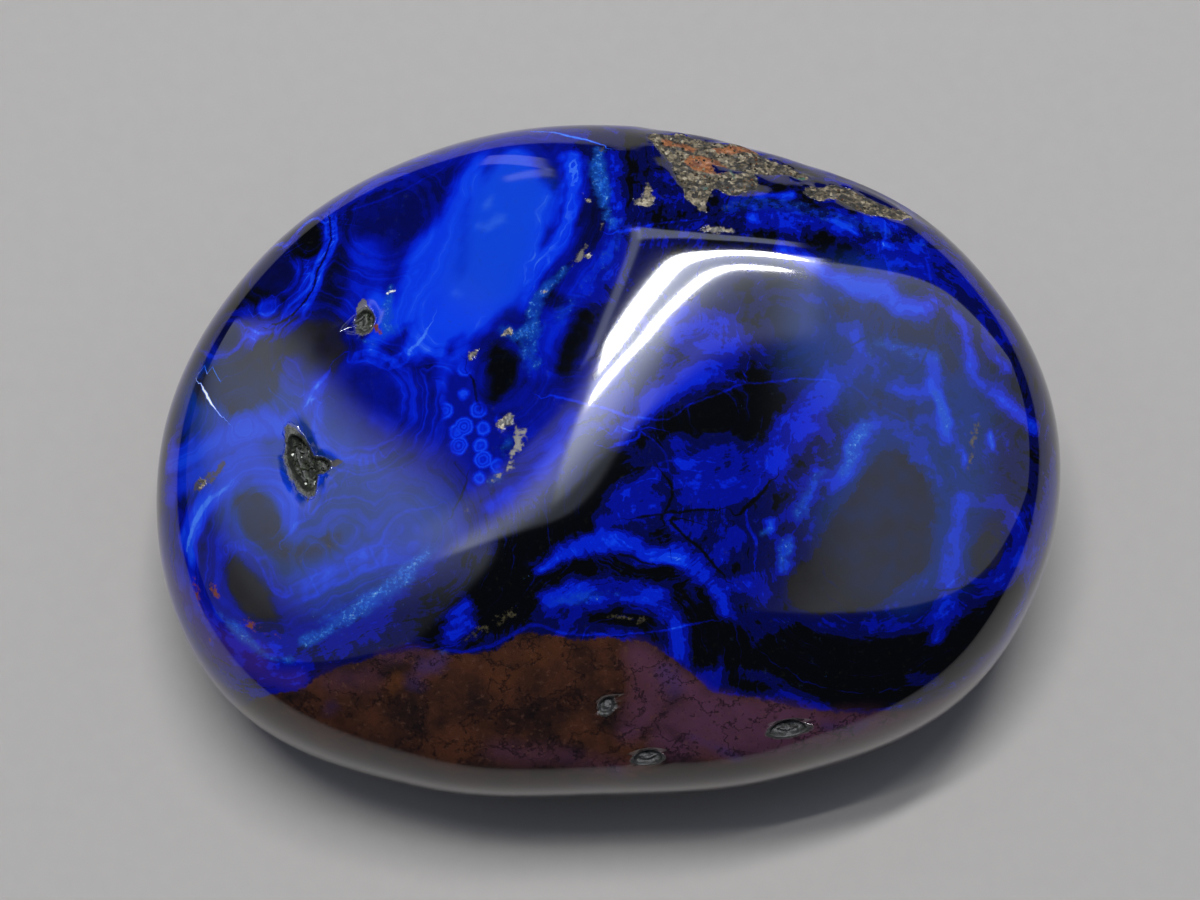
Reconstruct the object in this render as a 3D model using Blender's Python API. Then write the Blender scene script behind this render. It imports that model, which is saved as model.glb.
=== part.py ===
"""Azurite palm stone: one hand-sized pebble of banded azurite, cut freeform and polished.

Metres, +Z up. The stone lies on the small flat of its belly. The origin is the middle of its
footprint, on the surface that it lies on. +X runs along its length, and +Y points at the back
edge, where rough matrix breaks through the polish.
"""

import math
from collections import namedtuple

import bmesh
import bpy
from mathutils import Vector, noise

MM = 0.001

# Driving dimensions
LENGTH = 70.0 * MM
RIM_HEIGHT = 12.4 * MM  # where the outline is widest, above the bottom of the unworn belly
CROWN_RISE = 19.5 * MM  # from the rim to the top, before the faces are lapped on it
BELLY_DROP = 12.4 * MM  # from the rim to the bottom, before the flat is worn on it

# The outline seen from above: its reach from the middle, as shares of half the length, every
# 30 degrees anticlockwise from +X. It is fuller along the front than along the back.
RIM_REACH = (1.0, 0.895, 0.76, 0.735, 0.79, 0.895, 0.99, 0.99, 0.825, 0.735, 0.805, 0.965)
CROWN_SQUARENESS = 2.6  # superellipse exponent of the section: 2 is an ellipse
BELLY_SQUARENESS = 2.3
CROWN_LEAN = Vector((6.5, 4.0, 0.0)) * MM  # how far the top leans off the middle

# A lapped face cuts the crown with a sloping plane, and the polishing rounds its edge.
# at: a point that the plane passes through; falls: the bearing that it slopes down towards,
# in degrees; slope: its fall for each unit of run; edge: how far the rounding reaches.
Face = namedtuple("Face", "at falls slope edge")
LAPPED_FACES = {
    "top": Face(Vector((8.0, 8.0, 30.2)) * MM, 60.0, 0.03, 3.0 * MM),
    "right": Face(Vector((12.0, 4.0, 30.3)) * MM, 348.0, 0.13, 4.0 * MM),
    "middle": Face(Vector((-5.0, -2.3, 28.5)) * MM, 263.0, 0.16, 5.0 * MM),
    "left": Face(Vector((-5.0, -2.3, 28.5)) * MM, 180.0, 0.287, 2.8 * MM),
    "back left": Face(Vector((-1.2, 5.2, 29.3)) * MM, 152.0, 0.285, 2.6 * MM),
    "front": Face(Vector((2.0, -14.5, 26.2)) * MM, 268.0, 0.66, 4.5 * MM),
    "back": Face(Vector((6.0, 17.4, 29.0)) * MM, 80.0, 0.85, 3.2 * MM),
}

# The lap left no face quite flat: a shallow hollow beside the crest, and a slight waver all over.
HOLLOW_AT = Vector((-11.5, 8.0)) * MM
HOLLOW_RADIUS = 9.0 * MM
HOLLOW_DEPTH = 0.35 * MM
WAVER = 0.06 * MM
WAVER_SPACING = 15.0 * MM

# Open pits in the polish. at: the middle, on the surface; size: length and width;
# turn: the bearing of the length, in degrees.
Pit = namedtuple("Pit", "at size turn depth")
PITS = {
    "vug": Pit(Vector((-22.4, -1.2, 23.3)) * MM, (6.2 * MM, 2.2 * MM), 110.0, 1.4 * MM),
    "side of the vug": Pit(Vector((-21.4, -1.4, 23.6)) * MM, (3.6 * MM, 1.5 * MM), -8.0, 0.9 * MM),
    "rust vug": Pit(Vector((-17.8, 9.5, 23.9)) * MM, (2.2 * MM, 1.5 * MM), 80.0, 0.7 * MM),
    "front pit": Pit(Vector((13.9, -20.9, 21.6)) * MM, (3.6 * MM, 1.4 * MM), 8.0, 0.8 * MM),
    "middle pit": Pit(Vector((0.3, -19.3, 22.6)) * MM, (2.2 * MM, 1.2 * MM), 65.0, 0.6 * MM),
    "corner pit": Pit(Vector((3.4, -23.0, 20.1)) * MM, (3.0 * MM, 1.4 * MM), 12.0, 0.6 * MM),
}

# Patches of matrix, softer than azurite, that the lap left rough and a little sunken.
Patch = namedtuple("Patch", "at size turn")
MATRIX_PATCHES = {
    "large patch": Patch(Vector((9.2, 21.8, 24.7)) * MM, (11.5 * MM, 9.0 * MM), -14.0),
    "small patch": Patch(Vector((19.2, 18.9, 25.2)) * MM, (8.4 * MM, 3.2 * MM), -20.0),
}
PATCH_SINK = 0.28 * MM
PATCH_LUMP = 0.30 * MM  # height of the lumps that are left standing in a patch
PATCH_LUMP_SPACING = 2.2 * MM
PATCH_SHOULDER = 0.2  # share of a patch's size over which it sinks to its full depth
PATCH_RAGGEDNESS = 0.35  # how far a patch's edge strays, as a share of its size

# The flat that the belly is worn to: how much it takes off, and how soft its edge is
FLAT_DEPTH = 0.7 * MM
FLAT_EDGE = 0.3 * MM

# Fineness of the mesh. Each further cut reaches less far past a pit's or patch's middle, in
# the pit's or patch's own sizes, so that the triangles shrink by steps.
SPHERE_SUBDIVISIONS = 5
PIT_CUT_REACHES = (1.8, 1.4, 1.1)
PATCH_CUT_REACHES = (1.2, 1.05)

AZURITE_BLUE = (0.012, 0.045, 0.42, 1.0)
POLISHED_ROUGHNESS = 0.08
AZURITE_IOR = 1.78


def rim_reach(bearing):
    """How far the outline lies from the middle at a bearing in radians, on a smooth loop."""
    step = 2 * math.pi / len(RIM_REACH)
    whole, part = divmod(bearing / step, 1.0)
    before, start, end, after = (
        RIM_REACH[(int(whole) + i) % len(RIM_REACH)] for i in (-1, 0, 1, 2)
    )
    slope_in, slope_out = (end - before) / 2, (after - start) / 2
    rise = end - start
    square = 3 * rise - 2 * slope_in - slope_out
    cube = slope_in + slope_out - 2 * rise
    return (start + part * (slope_in + part * (square + part * cube))) * LENGTH / 2


def soft_minimum(first, second, width):
    """The lower of two heights, with the corner between them rounded over a width."""
    overlap = max(width - abs(first - second), 0.0) / width
    return min(first, second) - width * overlap * overlap / 4


def smooth_fall(share):
    """1 at a share of 0, and 0 from a share of 1, level at both ends."""
    share = min(max(share, 0.0), 1.0)
    return 1 - share * share * (3 - 2 * share)


def pebble(direction):
    """The unworked pebble's surface in a direction from its middle."""
    upper = direction.z >= 0
    power = 2 / (CROWN_SQUARENESS if upper else BELLY_SQUARENESS)
    rise = CROWN_RISE if upper else BELLY_DROP
    bearing = math.atan2(direction.y, direction.x) % (2 * math.pi)
    out = rim_reach(bearing) * direction.xy.length**power
    height = math.copysign(abs(direction.z) ** power, direction.z)
    point = Vector((out * math.cos(bearing), out * math.sin(bearing), RIM_HEIGHT + rise * height))
    return point + CROWN_LEAN * height**2 if upper else point


def lapped(point):
    """The pebble's point with the faces and the hollow lapped on its crown."""
    height = point.z
    for face in LAPPED_FACES.values():
        bearing = math.radians(face.falls)
        downhill = Vector((math.cos(bearing), math.sin(bearing)))
        plane = face.at.z - face.slope * downhill.dot(point.xy - face.at.xy)
        height = soft_minimum(height, plane, face.edge)
    aside = (point.xy - HOLLOW_AT).length / HOLLOW_RADIUS
    height -= HOLLOW_DEPTH * math.exp(-2 * aside**2)
    height += WAVER * noise.noise(point / WAVER_SPACING)
    return Vector((point.x, point.y, height))


def smooth_stone(direction):
    """The stone's surface in a direction, before the pits, the patches and the flat."""
    return lapped(pebble(direction.normalized()))


def reach_in(feature, point):
    """How far a point lies from a pit's or patch's middle: 1 is its edge."""
    turn = math.radians(feature.turn)
    offset = point - feature.at
    along = offset.x * math.cos(turn) + offset.y * math.sin(turn)
    across = math.sqrt(max(offset.length_squared - along**2, 0.0))
    return math.hypot(along / feature.size[0], across / feature.size[1]) * 2


def weathering(point):
    """How deep a point of the crown is sunk by the deepest pit there and the rough patches."""
    depth = max(pit.depth * smooth_fall(reach_in(pit, point)) for pit in PITS.values())
    for patch in MATRIX_PATCHES.values():
        lump = noise.noise(point / PATCH_LUMP_SPACING)
        reach = reach_in(patch, point) + PATCH_RAGGEDNESS * lump
        inside = smooth_fall((reach - 1 + PATCH_SHOULDER) / PATCH_SHOULDER)
        depth += inside * (PATCH_SINK + PATCH_LUMP * lump)
    return depth


def cut_finer(ball, features, reach):
    """Halves the edges of a ball that come to lie within reach of a feature on the crown."""

    def near_feature(edge):
        point = smooth_stone(edge.verts[0].co + edge.verts[1].co)
        return point.z > RIM_HEIGHT and min(reach_in(f, point) for f in features) < reach

    near = [edge for edge in ball.edges if near_feature(edge)]
    bmesh.ops.subdivide_edges(ball, edges=near, cuts=1, use_grid_fill=True)
    bmesh.ops.triangulate(ball, faces=ball.faces)


def shape_stone(ball):
    """Moves a unit ball's points onto the stone, then sinks the pits and patches into it."""
    for vert in ball.verts:
        vert.co = smooth_stone(vert.co)
    ball.normal_update()
    crown = [vert for vert in ball.verts if vert.co.z > RIM_HEIGHT]
    moves = [vert.normal * -weathering(vert.co) for vert in crown]
    for vert, move in zip(crown, moves):
        vert.co += move


def rest_on_flat(stone):
    """Wears the flat on the belly, sets it at height 0, and centres the footprint."""
    lowest = min(vert.co.z for vert in stone.verts)
    for vert in stone.verts:
        height = vert.co.z - lowest - FLAT_DEPTH
        vert.co.z = -soft_minimum(-height, 0.0, FLAT_EDGE)
    for axis in (0, 1):
        sides = [vert.co[axis] for vert in stone.verts]
        middle = (min(sides) + max(sides)) / 2
        for vert in stone.verts:
            vert.co[axis] -= middle


def azurite_material():
    material = bpy.data.materials.new("polished azurite")
    material.diffuse_color = AZURITE_BLUE
    material.use_nodes = True
    shader = material.node_tree.nodes["Principled BSDF"]
    shader.inputs["Base Color"].default_value = AZURITE_BLUE
    shader.inputs["Roughness"].default_value = POLISHED_ROUGHNESS
    shader.inputs["Metallic"].default_value = 0.0
    shader.inputs["IOR"].default_value = AZURITE_IOR
    return material


def build_azurite_stone():
    """The whole stone, one closed body."""
    stone = bmesh.new()
    bmesh.ops.create_icosphere(stone, subdivisions=SPHERE_SUBDIVISIONS, radius=1.0)
    for reach in PATCH_CUT_REACHES:
        cut_finer(stone, MATRIX_PATCHES.values(), reach)
    for reach in PIT_CUT_REACHES:
        cut_finer(stone, PITS.values(), reach)
    shape_stone(stone)
    rest_on_flat(stone)
    bmesh.ops.recalc_face_normals(stone, faces=stone.faces)

    mesh = bpy.data.meshes.new("azurite_stone")
    stone.to_mesh(mesh)
    stone.free()
    mesh.shade_smooth()
    mesh.materials.append(azurite_material())
    bpy.context.scene.collection.objects.link(bpy.data.objects.new("azurite_stone", mesh))


def main():
    for leftover in list(bpy.data.objects):
        bpy.data.objects.remove(leftover)
    build_azurite_stone()


main()
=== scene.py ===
"""Polished azurite palm stone: its skin, its crystals and a plain studio round it.

Metres, +Z up. The stone lies on the flat of its belly, with its length along X and the rough
matrix at its back edge. Every place on the stone below is in millimetres, seen from above.
"""

import math
import random
from collections import namedtuple

import bmesh
import bpy
import numpy as np
from mathutils import Matrix, Vector, noise
from mathutils.bvhtree import BVHTree


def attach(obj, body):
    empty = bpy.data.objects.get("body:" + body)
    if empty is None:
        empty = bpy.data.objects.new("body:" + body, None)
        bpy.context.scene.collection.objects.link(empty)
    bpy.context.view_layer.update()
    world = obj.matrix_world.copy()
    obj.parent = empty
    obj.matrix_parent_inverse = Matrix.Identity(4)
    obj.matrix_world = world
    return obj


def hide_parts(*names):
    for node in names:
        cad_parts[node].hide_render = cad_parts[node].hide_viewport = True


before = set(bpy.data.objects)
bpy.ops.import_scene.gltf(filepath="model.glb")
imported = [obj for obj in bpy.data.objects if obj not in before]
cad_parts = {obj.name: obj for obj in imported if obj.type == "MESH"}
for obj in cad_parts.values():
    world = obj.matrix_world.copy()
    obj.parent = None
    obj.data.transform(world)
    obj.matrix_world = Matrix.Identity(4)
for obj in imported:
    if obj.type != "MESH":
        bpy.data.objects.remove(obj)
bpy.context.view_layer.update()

bl_info = {
    "name": "Azurite Palm Stone",
    "version": (1, 0, 0),
    "blender": (4, 5, 0),
    "location": "3D View > Sidebar > Stone",
    "description": "Builds a polished azurite palm stone, its crystals and a plain stage",
    "category": "Add Mesh",
}

MM = 0.001
STONE_NODE = "azurite_stone"


def linear(code):
    """The linear colour of an sRGB hex value."""
    parts = [int(code[i : i + 2], 16) / 255 for i in (1, 3, 5)]
    return tuple(p / 12.92 if p <= 0.04045 else ((p + 0.055) / 1.055) ** 2.4 for p in parts)


# ---------------------------------------------------------------------------------------------
# Markings. A mark is a chain of points (x, y, half width), laid on the crown from above.
# A wash is (tone, softness of its edge, chain). A tone of 0 is black azurite, 0.3 navy,
# 0.6 royal blue, 0.8 bright blue and 1 the palest. Later washes cover earlier ones.

WASHES = {
    # the left half, royal blue
    "left ground": (0.32, 8.0, [(-24, 0, 12), (-14, 6, 13), (-8, 16, 9)]),
    "right ground": (0.17, 4.0, [(6, -6, 10), (20, 2, 14), (18, 12, 8), (2, 19, 6)]),
    "dark diagonal": (0.03, 2.0, [
        (2, -1, 1.6), (-1, -5, 2.4), (-5, -8.5, 2.8), (-9, -12, 2.8), (-12.5, -14, 1.8),
    ]),
    "back left rim": (0.46, 1.5, [
        (-22, 18.5, 1.2), (-16, 21.5, 1.6), (-10, 23, 1.4), (-4, 24, 1.2),
    ]),
    "left rim": (0.14, 1.2, [
        (-24, 17, 0.6), (-28.5, 11.5, 1.0), (-30.5, 8.5, 0.9), (-32.5, 4.5, 0.9), (-34, -1, 0.8),
        (-34.4, -5, 0.7),
    ]),
    # lobes of the left flank
    "navy field": (0.27, 1.4, [(-19, 17.4, 1.6), (-16.3, 17.2, 2.8), (-13.4, 18.6, 1.6)]),
    "between lobes": (0.20, 0.9, [
        (-19.4, 18, 0.5), (-20.3, 13.8, 0.9), (-20.8, 11.4, 1.1), (-20.4, 9.4, 0.9),
    ]),
    "outer bands": (0.60, 0.7, [
        (-21, 18.2, 0.6), (-20.6, 15.8, 0.5), (-21.9, 13, 0.7), (-22.9, 10.8, 0.6),
        (-24.6, 9.3, 0.5), (-26.6, 8.7, 0.3),
    ]),
    "heart lobe": (0.02, 0.45, [(-22.3, 17, 0.85), (-22.5, 15.7, 1.15), (-23.9, 15.3, 0.6)]),
    "second lobe": (0.20, 0.7, [(-25.4, 14.2, 1.6), (-25.3, 13, 1.8)]),
    "second lobe edge": (0.05, 0.8, [(-27.4, 12, 0.8), (-25.5, 11.6, 0.35), (-24.3, 11.4, 0.3)]),
    "small ring": (0.56, 0.4, [(-25.6, 10.9, 0.75)]),
    "grey lobe": (0.14, 0.6, [(-28.7, 8.8, 1.2)]),
    "dark under the veil": (0.07, 1.3, [
        (-30.0, 5.0, 1.5), (-28, 5.2, 2.4), (-26, 5.6, 2.2), (-24.2, 7.6, 1.6),
    ]),
    "upper dark lobe": (0.14, 1.4, [(-23.4, 8.8, 1.6), (-21.4, 8.0, 2.0), (-20.2, 6.9, 1.4)]),
    "triangle lobe": (0.34, 0.8, [(-23.6, 6.2, 0.9), (-24, 4, 0.9), (-22.8, 4.6, 0.9)]),
    "blotchy blue": (0.52, 1.6, [(-18, 15, 1.3), (-17.5, 12.5, 1.6), (-18.8, 10.6, 0.9)]),
    "bright round the rust vug": (0.78, 1.0, [
        (-17.2, 11, 0.7), (-16.2, 9.4, 1.4), (-17.4, 8, 0.6),
    ]),
    # the bright field
    "bright field": (0.83, 1.1, [
        (-6.8, 20.6, 2.0), (-7.2, 17.6, 3.4), (-8.6, 14, 3.8), (-10.6, 10.8, 3.0),
        (-13.2, 8.2, 1.5), (-14.6, 7.0, 0.7),
    ]),
    "bright field shoulder": (0.80, 1.3, [
        (-9.5, 21.4, 1.0), (-11, 17, 1.5), (-13.2, 13.4, 1.9), (-14.2, 10.6, 1.9),
    ]),
    "field vein": (0.66, 0.9, [(-10.3, 18.4, 0.3), (-10.5, 15.8, 0.4), (-10.8, 13, 0.4)]),
    "below the field": (0.48, 1.5, [
        (-19, 6.4, 0.7), (-16.4, 4.6, 1.5), (-13.8, 3.4, 1.3), (-12.8, -0.2, 1.0),
    ]),
    "bright tail": (0.76, 0.7, [(-12.3, 7.6, 0.5), (-11.7, 5, 0.5), (-11.3, 3, 0.5)]),
    "field edge bands": (0.70, 0.8, [
        (-2.6, 21.6, 0.8), (-2.3, 18, 0.9), (-3.3, 14.8, 0.8), (-5.3, 12.3, 0.7),
        (-5.9, 10.2, 0.5),
    ]),
    "smudge in the field": (0.93, 1.0, [(-9.6, 16.4, 0.3), (-8.6, 16.3, 0.4), (-7.8, 16.9, 0.3)]),
    "smudge in the field, top": (0.92, 0.9, [(-8.9, 18.0, 0.25), (-8.5, 18.7, 0.15)]),
    "smudge in the field, star": (0.97, 0.5, [
        (-11.1, 11.5, 0.15), (-10.6, 11.3, 0.25), (-10.3, 11.7, 0.1),
    ]),
    # the swirls of the left
    "bright swirl": (0.72, 0.9, [
        (-33.2, -0.6, 0.9), (-31, 0, 1.0), (-28.4, 0.9, 1.1), (-26, 1.6, 1.0), (-24, 1.9, 0.8),
        (-22.8, 2.8, 0.4), (-21.2, 5, 0.35),
    ]),
    "left shore": (0.64, 0.8, [
        (-33.4, 0.8, 0.4), (-31.6, 0.9, 0.3), (-29.6, 1.3, 0.25), (-27.6, 2.2, 0.3),
        (-25.6, 2.7, 0.3),
    ]),
    "big round lobe": (0.34, 0.9, [(-18.3, 3.1, 3.1)]),
    "big lobe patches": (0.56, 0.8, [(-17.1, 1.9, 0.7), (-16.0, 1.3, 0.5)]),
    "big lobe edge": (0.54, 0.5, [
        (-21.6, 3.2, 0.3), (-21.6, 1.2, 0.35), (-20.7, -0.4, 0.3), (-19, -1.0, 0.25),
        (-17.2, -0.5, 0.2),
    ]),
    "brown spot": (0.20, 0.6, [(-32.2, 1.2, 0.5)]),
    "lower left blue": (0.58, 1.2, [
        (-33, -3, 0.8), (-31.6, -2, 0.7), (-26.5, -0.6, 1.1), (-24.4, -2.8, 0.8),
        (-23.4, -4.8, 0.7),
    ]),
    "left notch": (0.16, 0.5, [(-31.8, -3.9, 0.6)]),
    "bright crescent": (0.80, 0.7, [
        (-28, -2.4, 0.5), (-29.4, -3.6, 0.8), (-30.8, -5, 1.0), (-31.5, -6.6, 0.9),
        (-31.2, -8, 0.5),
    ]),
    "lower dark lobe": (0.06, 0.8, [
        (-27.4, -4.0, 0.8), (-26.3, -4.5, 1.4), (-25.5, -5.9, 1.4), (-24.7, -7.3, 1.0),
        (-23.4, -8.1, 0.9), (-21.8, -7.9, 0.8), (-20.2, -7.0, 0.7), (-19.0, -6.0, 0.5),
    ]),
    "crescent, inner arm": (0.64, 0.6, [
        (-28.2, -1.6, 0.4), (-26.6, -1.3, 0.5), (-25.0, -1.8, 0.5), (-23.9, -2.9, 0.5),
        (-23.4, -4.4, 0.45), (-23.5, -5.9, 0.3), (-22.6, -4.9, 0.3), (-21.8, -3.6, 0.3),
        (-21.2, -2.3, 0.3),
    ]),
    "crescent foot": (0.40, 1.0, [(-29.2, -7.2, 1.2), (-29.5, -9.4, 0.9)]),
    "corner lobe": (0.06, 0.8, [
        (-27.7, -8.9, 0.8), (-27.1, -10.2, 1.3), (-26, -11.5, 1.3), (-25, -12.4, 0.8),
    ]),
    "olive valley": (0.15, 1.0, [
        (-24, -9.1, 0.8), (-22.2, -8.4, 0.8), (-20.4, -7.5, 0.7), (-19.1, -6.3, 0.5),
        (-18.7, -5.1, 0.3),
    ]),
    "middle left": (0.34, 1.2, [
        (-20.3, -3.6, 1.1), (-17.8, -2.6, 1.5), (-15.2, -3.2, 1.6), (-13, -3.6, 1.2),
    ]),
    "river": (0.46, 1.0, [
        (-21.8, -10.4, 0.7), (-19.2, -9.1, 0.9), (-16.8, -8.4, 1.1), (-14.4, -8.7, 0.9),
    ]),
    "under the river": (0.40, 1.6, [
        (-23, -12.6, 1.4), (-20, -12.9, 1.8), (-17, -12.6, 1.9), (-15, -11, 1.2),
        (-13, -8.8, 0.9), (-11, -6.9, 0.8),
    ]),
    "spotted lobe": (0.34, 0.6, [(-14.7, -6.9, 0.9)]),
    "valley beside the dark": (0.17, 1.2, [
        (-15.6, -14.4, 0.9), (-13.4, -11.8, 1.1), (-11, -9.2, 1.0), (-9.6, -8, 0.8),
    ]),
    "left corner": (0.50, 1.4, [
        (-32, -9.6, 1.0), (-30.4, -12.2, 1.4), (-28, -14.4, 1.8), (-25, -15.8, 1.6),
    ]),
    "corner tail": (0.47, 0.8, [(-25.6, -16.8, 0.8), (-23.6, -17.4, 0.9), (-22.6, -16.2, 0.7)]),
    "inkspot": (0.12, 0.25, [(-17.7, -6.8, 0.25), (-17.4, -7.0, 0.1)]),
    # between the field and the crest
    "vein flank": (0.52, 1.4, [
        (0.9, 21.5, 1.0), (1.0, 17, 0.9), (0.6, 14, 1.2), (-1.2, 11.8, 1.4), (-3.4, 9, 1.4),
        (-4.6, 5.6, 1.2),
    ]),
    "dark beside the vein": (0.12, 1.0, [(-4.1, 10.8, 0.5), (-3.5, 10.2, 0.3)]),
    "black beside the crest": (0.03, 1.0, [(-1.4, 9.2, 0.7), (-2.4, 7.2, 0.9), (-2.9, 5.2, 0.6)]),
    "bubble ground": (0.66, 0.8, [
        (-10.6, 7.6, 0.7), (-11.2, 5, 0.8), (-10.9, 2.4, 1.2), (-9.8, 0, 1.6), (-8.7, -1.6, 1.0),
        (-9.6, -3.4, 0.6),
    ]),
    "black spot": (0.01, 0.4, [
        (-7.9, 6.3, 0.9), (-7.4, 5.2, 1.15), (-7.9, 3.9, 0.8), (-8.4, 2.9, 0.3),
    ]),
    "under the veil": (0.42, 1.2, [(-5, 2.2, 1.3), (-4.6, 0, 1.3), (-5.6, -2, 0.9)]),
    "edge of the crest": (0.66, 0.8, [
        (-2.5, 1.6, 0.3), (-3.5, -0.8, 0.5), (-4.7, -2.4, 0.45), (-6.2, -3.6, 0.4),
        (-8.4, -5, 0.5),
    ]),
    # the dark back, beside the matrix
    "back dark": (0.10, 1.0, [
        (2.4, 24, 0.9), (2.2, 21.5, 1.2), (2.2, 18.6, 1.3), (2.2, 16.6, 0.8),
    ]),
    "back dark right": (0.26, 1.0, [(4.4, 20, 0.7), (5.0, 17.4, 1.0)]),
    # centre
    "royal ridge": (0.60, 0.8, [
        (1.1, -0.2, 0.45), (2.0, 0.9, 0.7), (3.4, 2.4, 0.9), (5.2, 3.9, 0.95), (7.2, 4.9, 0.95),
        (9.4, 5.6, 0.7),
    ]),
    "under the glow": (0.52, 1.4, [(8.6, 7.4, 1.6), (6.2, 8.2, 1.8)]),
    "black heart": (0.03, 0.9, [
        (5.4, 1.0, 1.0), (7.4, 1.6, 1.6), (10.2, 1.9, 2.0), (12.2, 2.6, 1.3), (10.5, 4.8, 0.5),
    ]),
    "dark fold": (0.20, 0.8, [(2.4, -1.3, 0.8), (3.9, -1.3, 0.7)]),
    "small blue fold": (0.40, 0.6, [(5.2, -0.3, 0.5), (5.4, -1.0, 0.4)]),
    "fan, upper": (0.52, 0.6, [(0.6, -4.7, 0.5), (2.2, -3.7, 0.75), (3.8, -2.8, 0.55)]),
    "fan, lower": (0.42, 0.8, [(-0.2, -6, 0.7), (1.4, -5.5, 0.9), (3.4, -4.8, 0.8)]),
    "fan, right": (0.42, 0.8, [
        (5.9, -3.1, 0.9), (7.6, -2.2, 1.2), (9.8, -1.4, 0.9), (11.4, -1.6, 0.9),
    ]),
    "fan, far right": (0.38, 0.9, [(6.2, -4.4, 0.8), (8.6, -3.8, 1.1), (10.8, -3.4, 1.0)]),
    "fan light": (0.85, 0.4, [(5.5, -1.9, 0.2), (6.1, -2.1, 0.2)]),
    "navy bay": (0.36, 0.9, [(5.2, -6.2, 0.6), (7.4, -6.6, 0.7), (9.4, -7, 1.1), (9, -8.6, 0.8)]),
    "first arc": (0.60, 0.5, [
        (-4.7, -9.6, 0.35), (-3.1, -8.5, 0.6), (-1.2, -7.8, 0.75), (0.9, -7.5, 0.8),
        (2.2, -7.8, 0.6), (3.2, -8.6, 0.6), (5, -8.4, 0.85), (6.3, -9.1, 0.7), (7.6, -10.3, 0.6),
        (8.8, -11.6, 0.5), (9, -12.8, 0.4),
    ]),
    "first arc light": (0.86, 0.6, [(4.4, -8.8, 0.3), (5.6, -9.0, 0.4)]),
    "dark between arcs": (0.04, 0.7, [
        (-2.2, -9.7, 0.5), (0.8, -9.4, 0.7), (2.6, -10.2, 0.5), (4.6, -10.1, 0.7),
        (6.4, -11.4, 0.8), (7.3, -13.4, 0.9), (7.6, -16, 0.9),
    ]),
    "second arc": (0.52, 0.5, [
        (-4, -11.6, 0.7), (-2, -11.2, 0.8), (0, -11.2, 0.85), (2.1, -11.3, 0.8), (4, -11.7, 0.8),
        (5, -12.8, 0.65), (5.5, -14.2, 0.6), (5.4, -15.7, 0.5),
    ]),
    "under the arcs": (0.04, 0.5, [(-1, -13.1, 0.3), (1, -13.1, 0.45), (3.2, -13.3, 0.4)]),
    "dark corner patch": (0.58, 0.9, [(-10, -11.9, 0.4), (-10.7, -13.3, 1.0), (-11.5, -14.5, 0.6)]),
    "right of the arcs": (0.42, 1.0, [(9.8, -10.9, 0.9), (11.4, -11.0, 0.9), (12.3, -10.2, 0.4)]),
    "cyan corner": (0.82, 0.5, [(12.3, -6.2, 0.35), (12.1, -7, 0.3)]),
    "grainy blue": (0.56, 0.9, [(13.4, -7.8, 0.7), (13.2, -9.4, 0.5)]),
    # the right dome
    "dome blue": (0.55, 1.2, [
        (12.8, -1.8, 0.9), (13.6, 0, 1.2), (15.2, 2, 1.5), (16.6, 4, 1.2), (18.2, 5.2, 0.7),
    ]),
    "dome bay": (0.26, 0.9, [(16.0, -0.6, 0.9), (14.6, -3.4, 0.7)]),
    "dome shore": (0.50, 0.8, [
        (14.2, -5.4, 0.8), (15, -4.6, 0.7), (15.8, -2.6, 0.6), (17.1, -3.1, 0.55),
    ]),
    "cyan arc": (0.66, 0.6, [
        (17, -3.4, 0.4), (18, -2.3, 0.5), (18.2, -0.6, 0.6), (19, 0.7, 0.6), (20.2, 1.0, 0.55),
    ]),
    "arc over the black lobe": (0.46, 0.8, [
        (21, 0.9, 0.55), (22.6, 0.2, 0.55), (23.9, -1.3, 0.5), (24.7, -3.2, 0.5),
    ]),
    "black lobe": (0.03, 0.7, [
        (21.2, -1.9, 1.2), (21.4, -4.6, 3.0), (20.4, -7.2, 3.9), (18.2, -9.6, 3.2),
        (15.4, -11.2, 2.0),
    ]),
    "blue column": (0.54, 0.6, [
        (26.2, -4.4, 0.6), (26.1, -6, 0.75), (25.7, -8, 0.8), (25.2, -10, 0.6),
        (25.5, -11.6, 0.6), (24.9, -13, 0.8), (24.6, -14.6, 0.6),
    ]),
    "second black lobe": (0.10, 0.6, [(28.6, -6.5, 0.9), (28.3, -8.2, 1.2), (27.7, -9.4, 0.6)]),
    "blue round the second lobe": (0.48, 0.7, [
        (27.2, -4.8, 0.4), (29.4, -4.5, 0.4), (30.9, -6, 0.5), (31, -8.4, 0.5),
    ]),
    "blue wave": (0.73, 0.8, [
        (13.4, 13.9, 0.5), (15, 13.2, 0.6), (16.6, 12.2, 0.75), (18.5, 11.4, 0.7),
        (20.6, 10.7, 0.7), (22, 9.8, 0.75), (23.4, 9.6, 0.55), (24.6, 10.3, 0.3),
    ]),
    "pale bays": (0.42, 1.0, [(19.4, 13.3, 0.6), (21.6, 12.7, 0.5), (23.8, 12.8, 0.4)]),
    "right wave": (0.66, 0.6, [
        (25.6, 9.7, 0.3), (26.6, 8.6, 0.5), (27, 6.6, 0.4), (27.3, 4.6, 0.45), (28.1, 3.8, 0.4),
        (29.3, 3.1, 0.45), (30.6, 2.1, 0.5), (32, 1.2, 0.4),
    ]),
    "right wave, outer": (0.48, 0.6, [
        (28.1, 9.2, 0.2), (28.2, 7.8, 0.3), (28.6, 6.4, 0.25), (30, 5.4, 0.3),
    ]),
    "dome network": (0.50, 0.9, [
        (18.4, 8, 0.4), (19, 6.4, 0.4), (20.2, 5.6, 0.45), (20.8, 7.2, 0.2), (22.6, 6.6, 0.5),
        (24, 6.2, 0.4), (24.6, 4, 0.6), (23.4, 3.4, 0.4), (21.4, 3.8, 0.5),
    ]),
    "cyan thread": (0.84, 0.5, [
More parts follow.
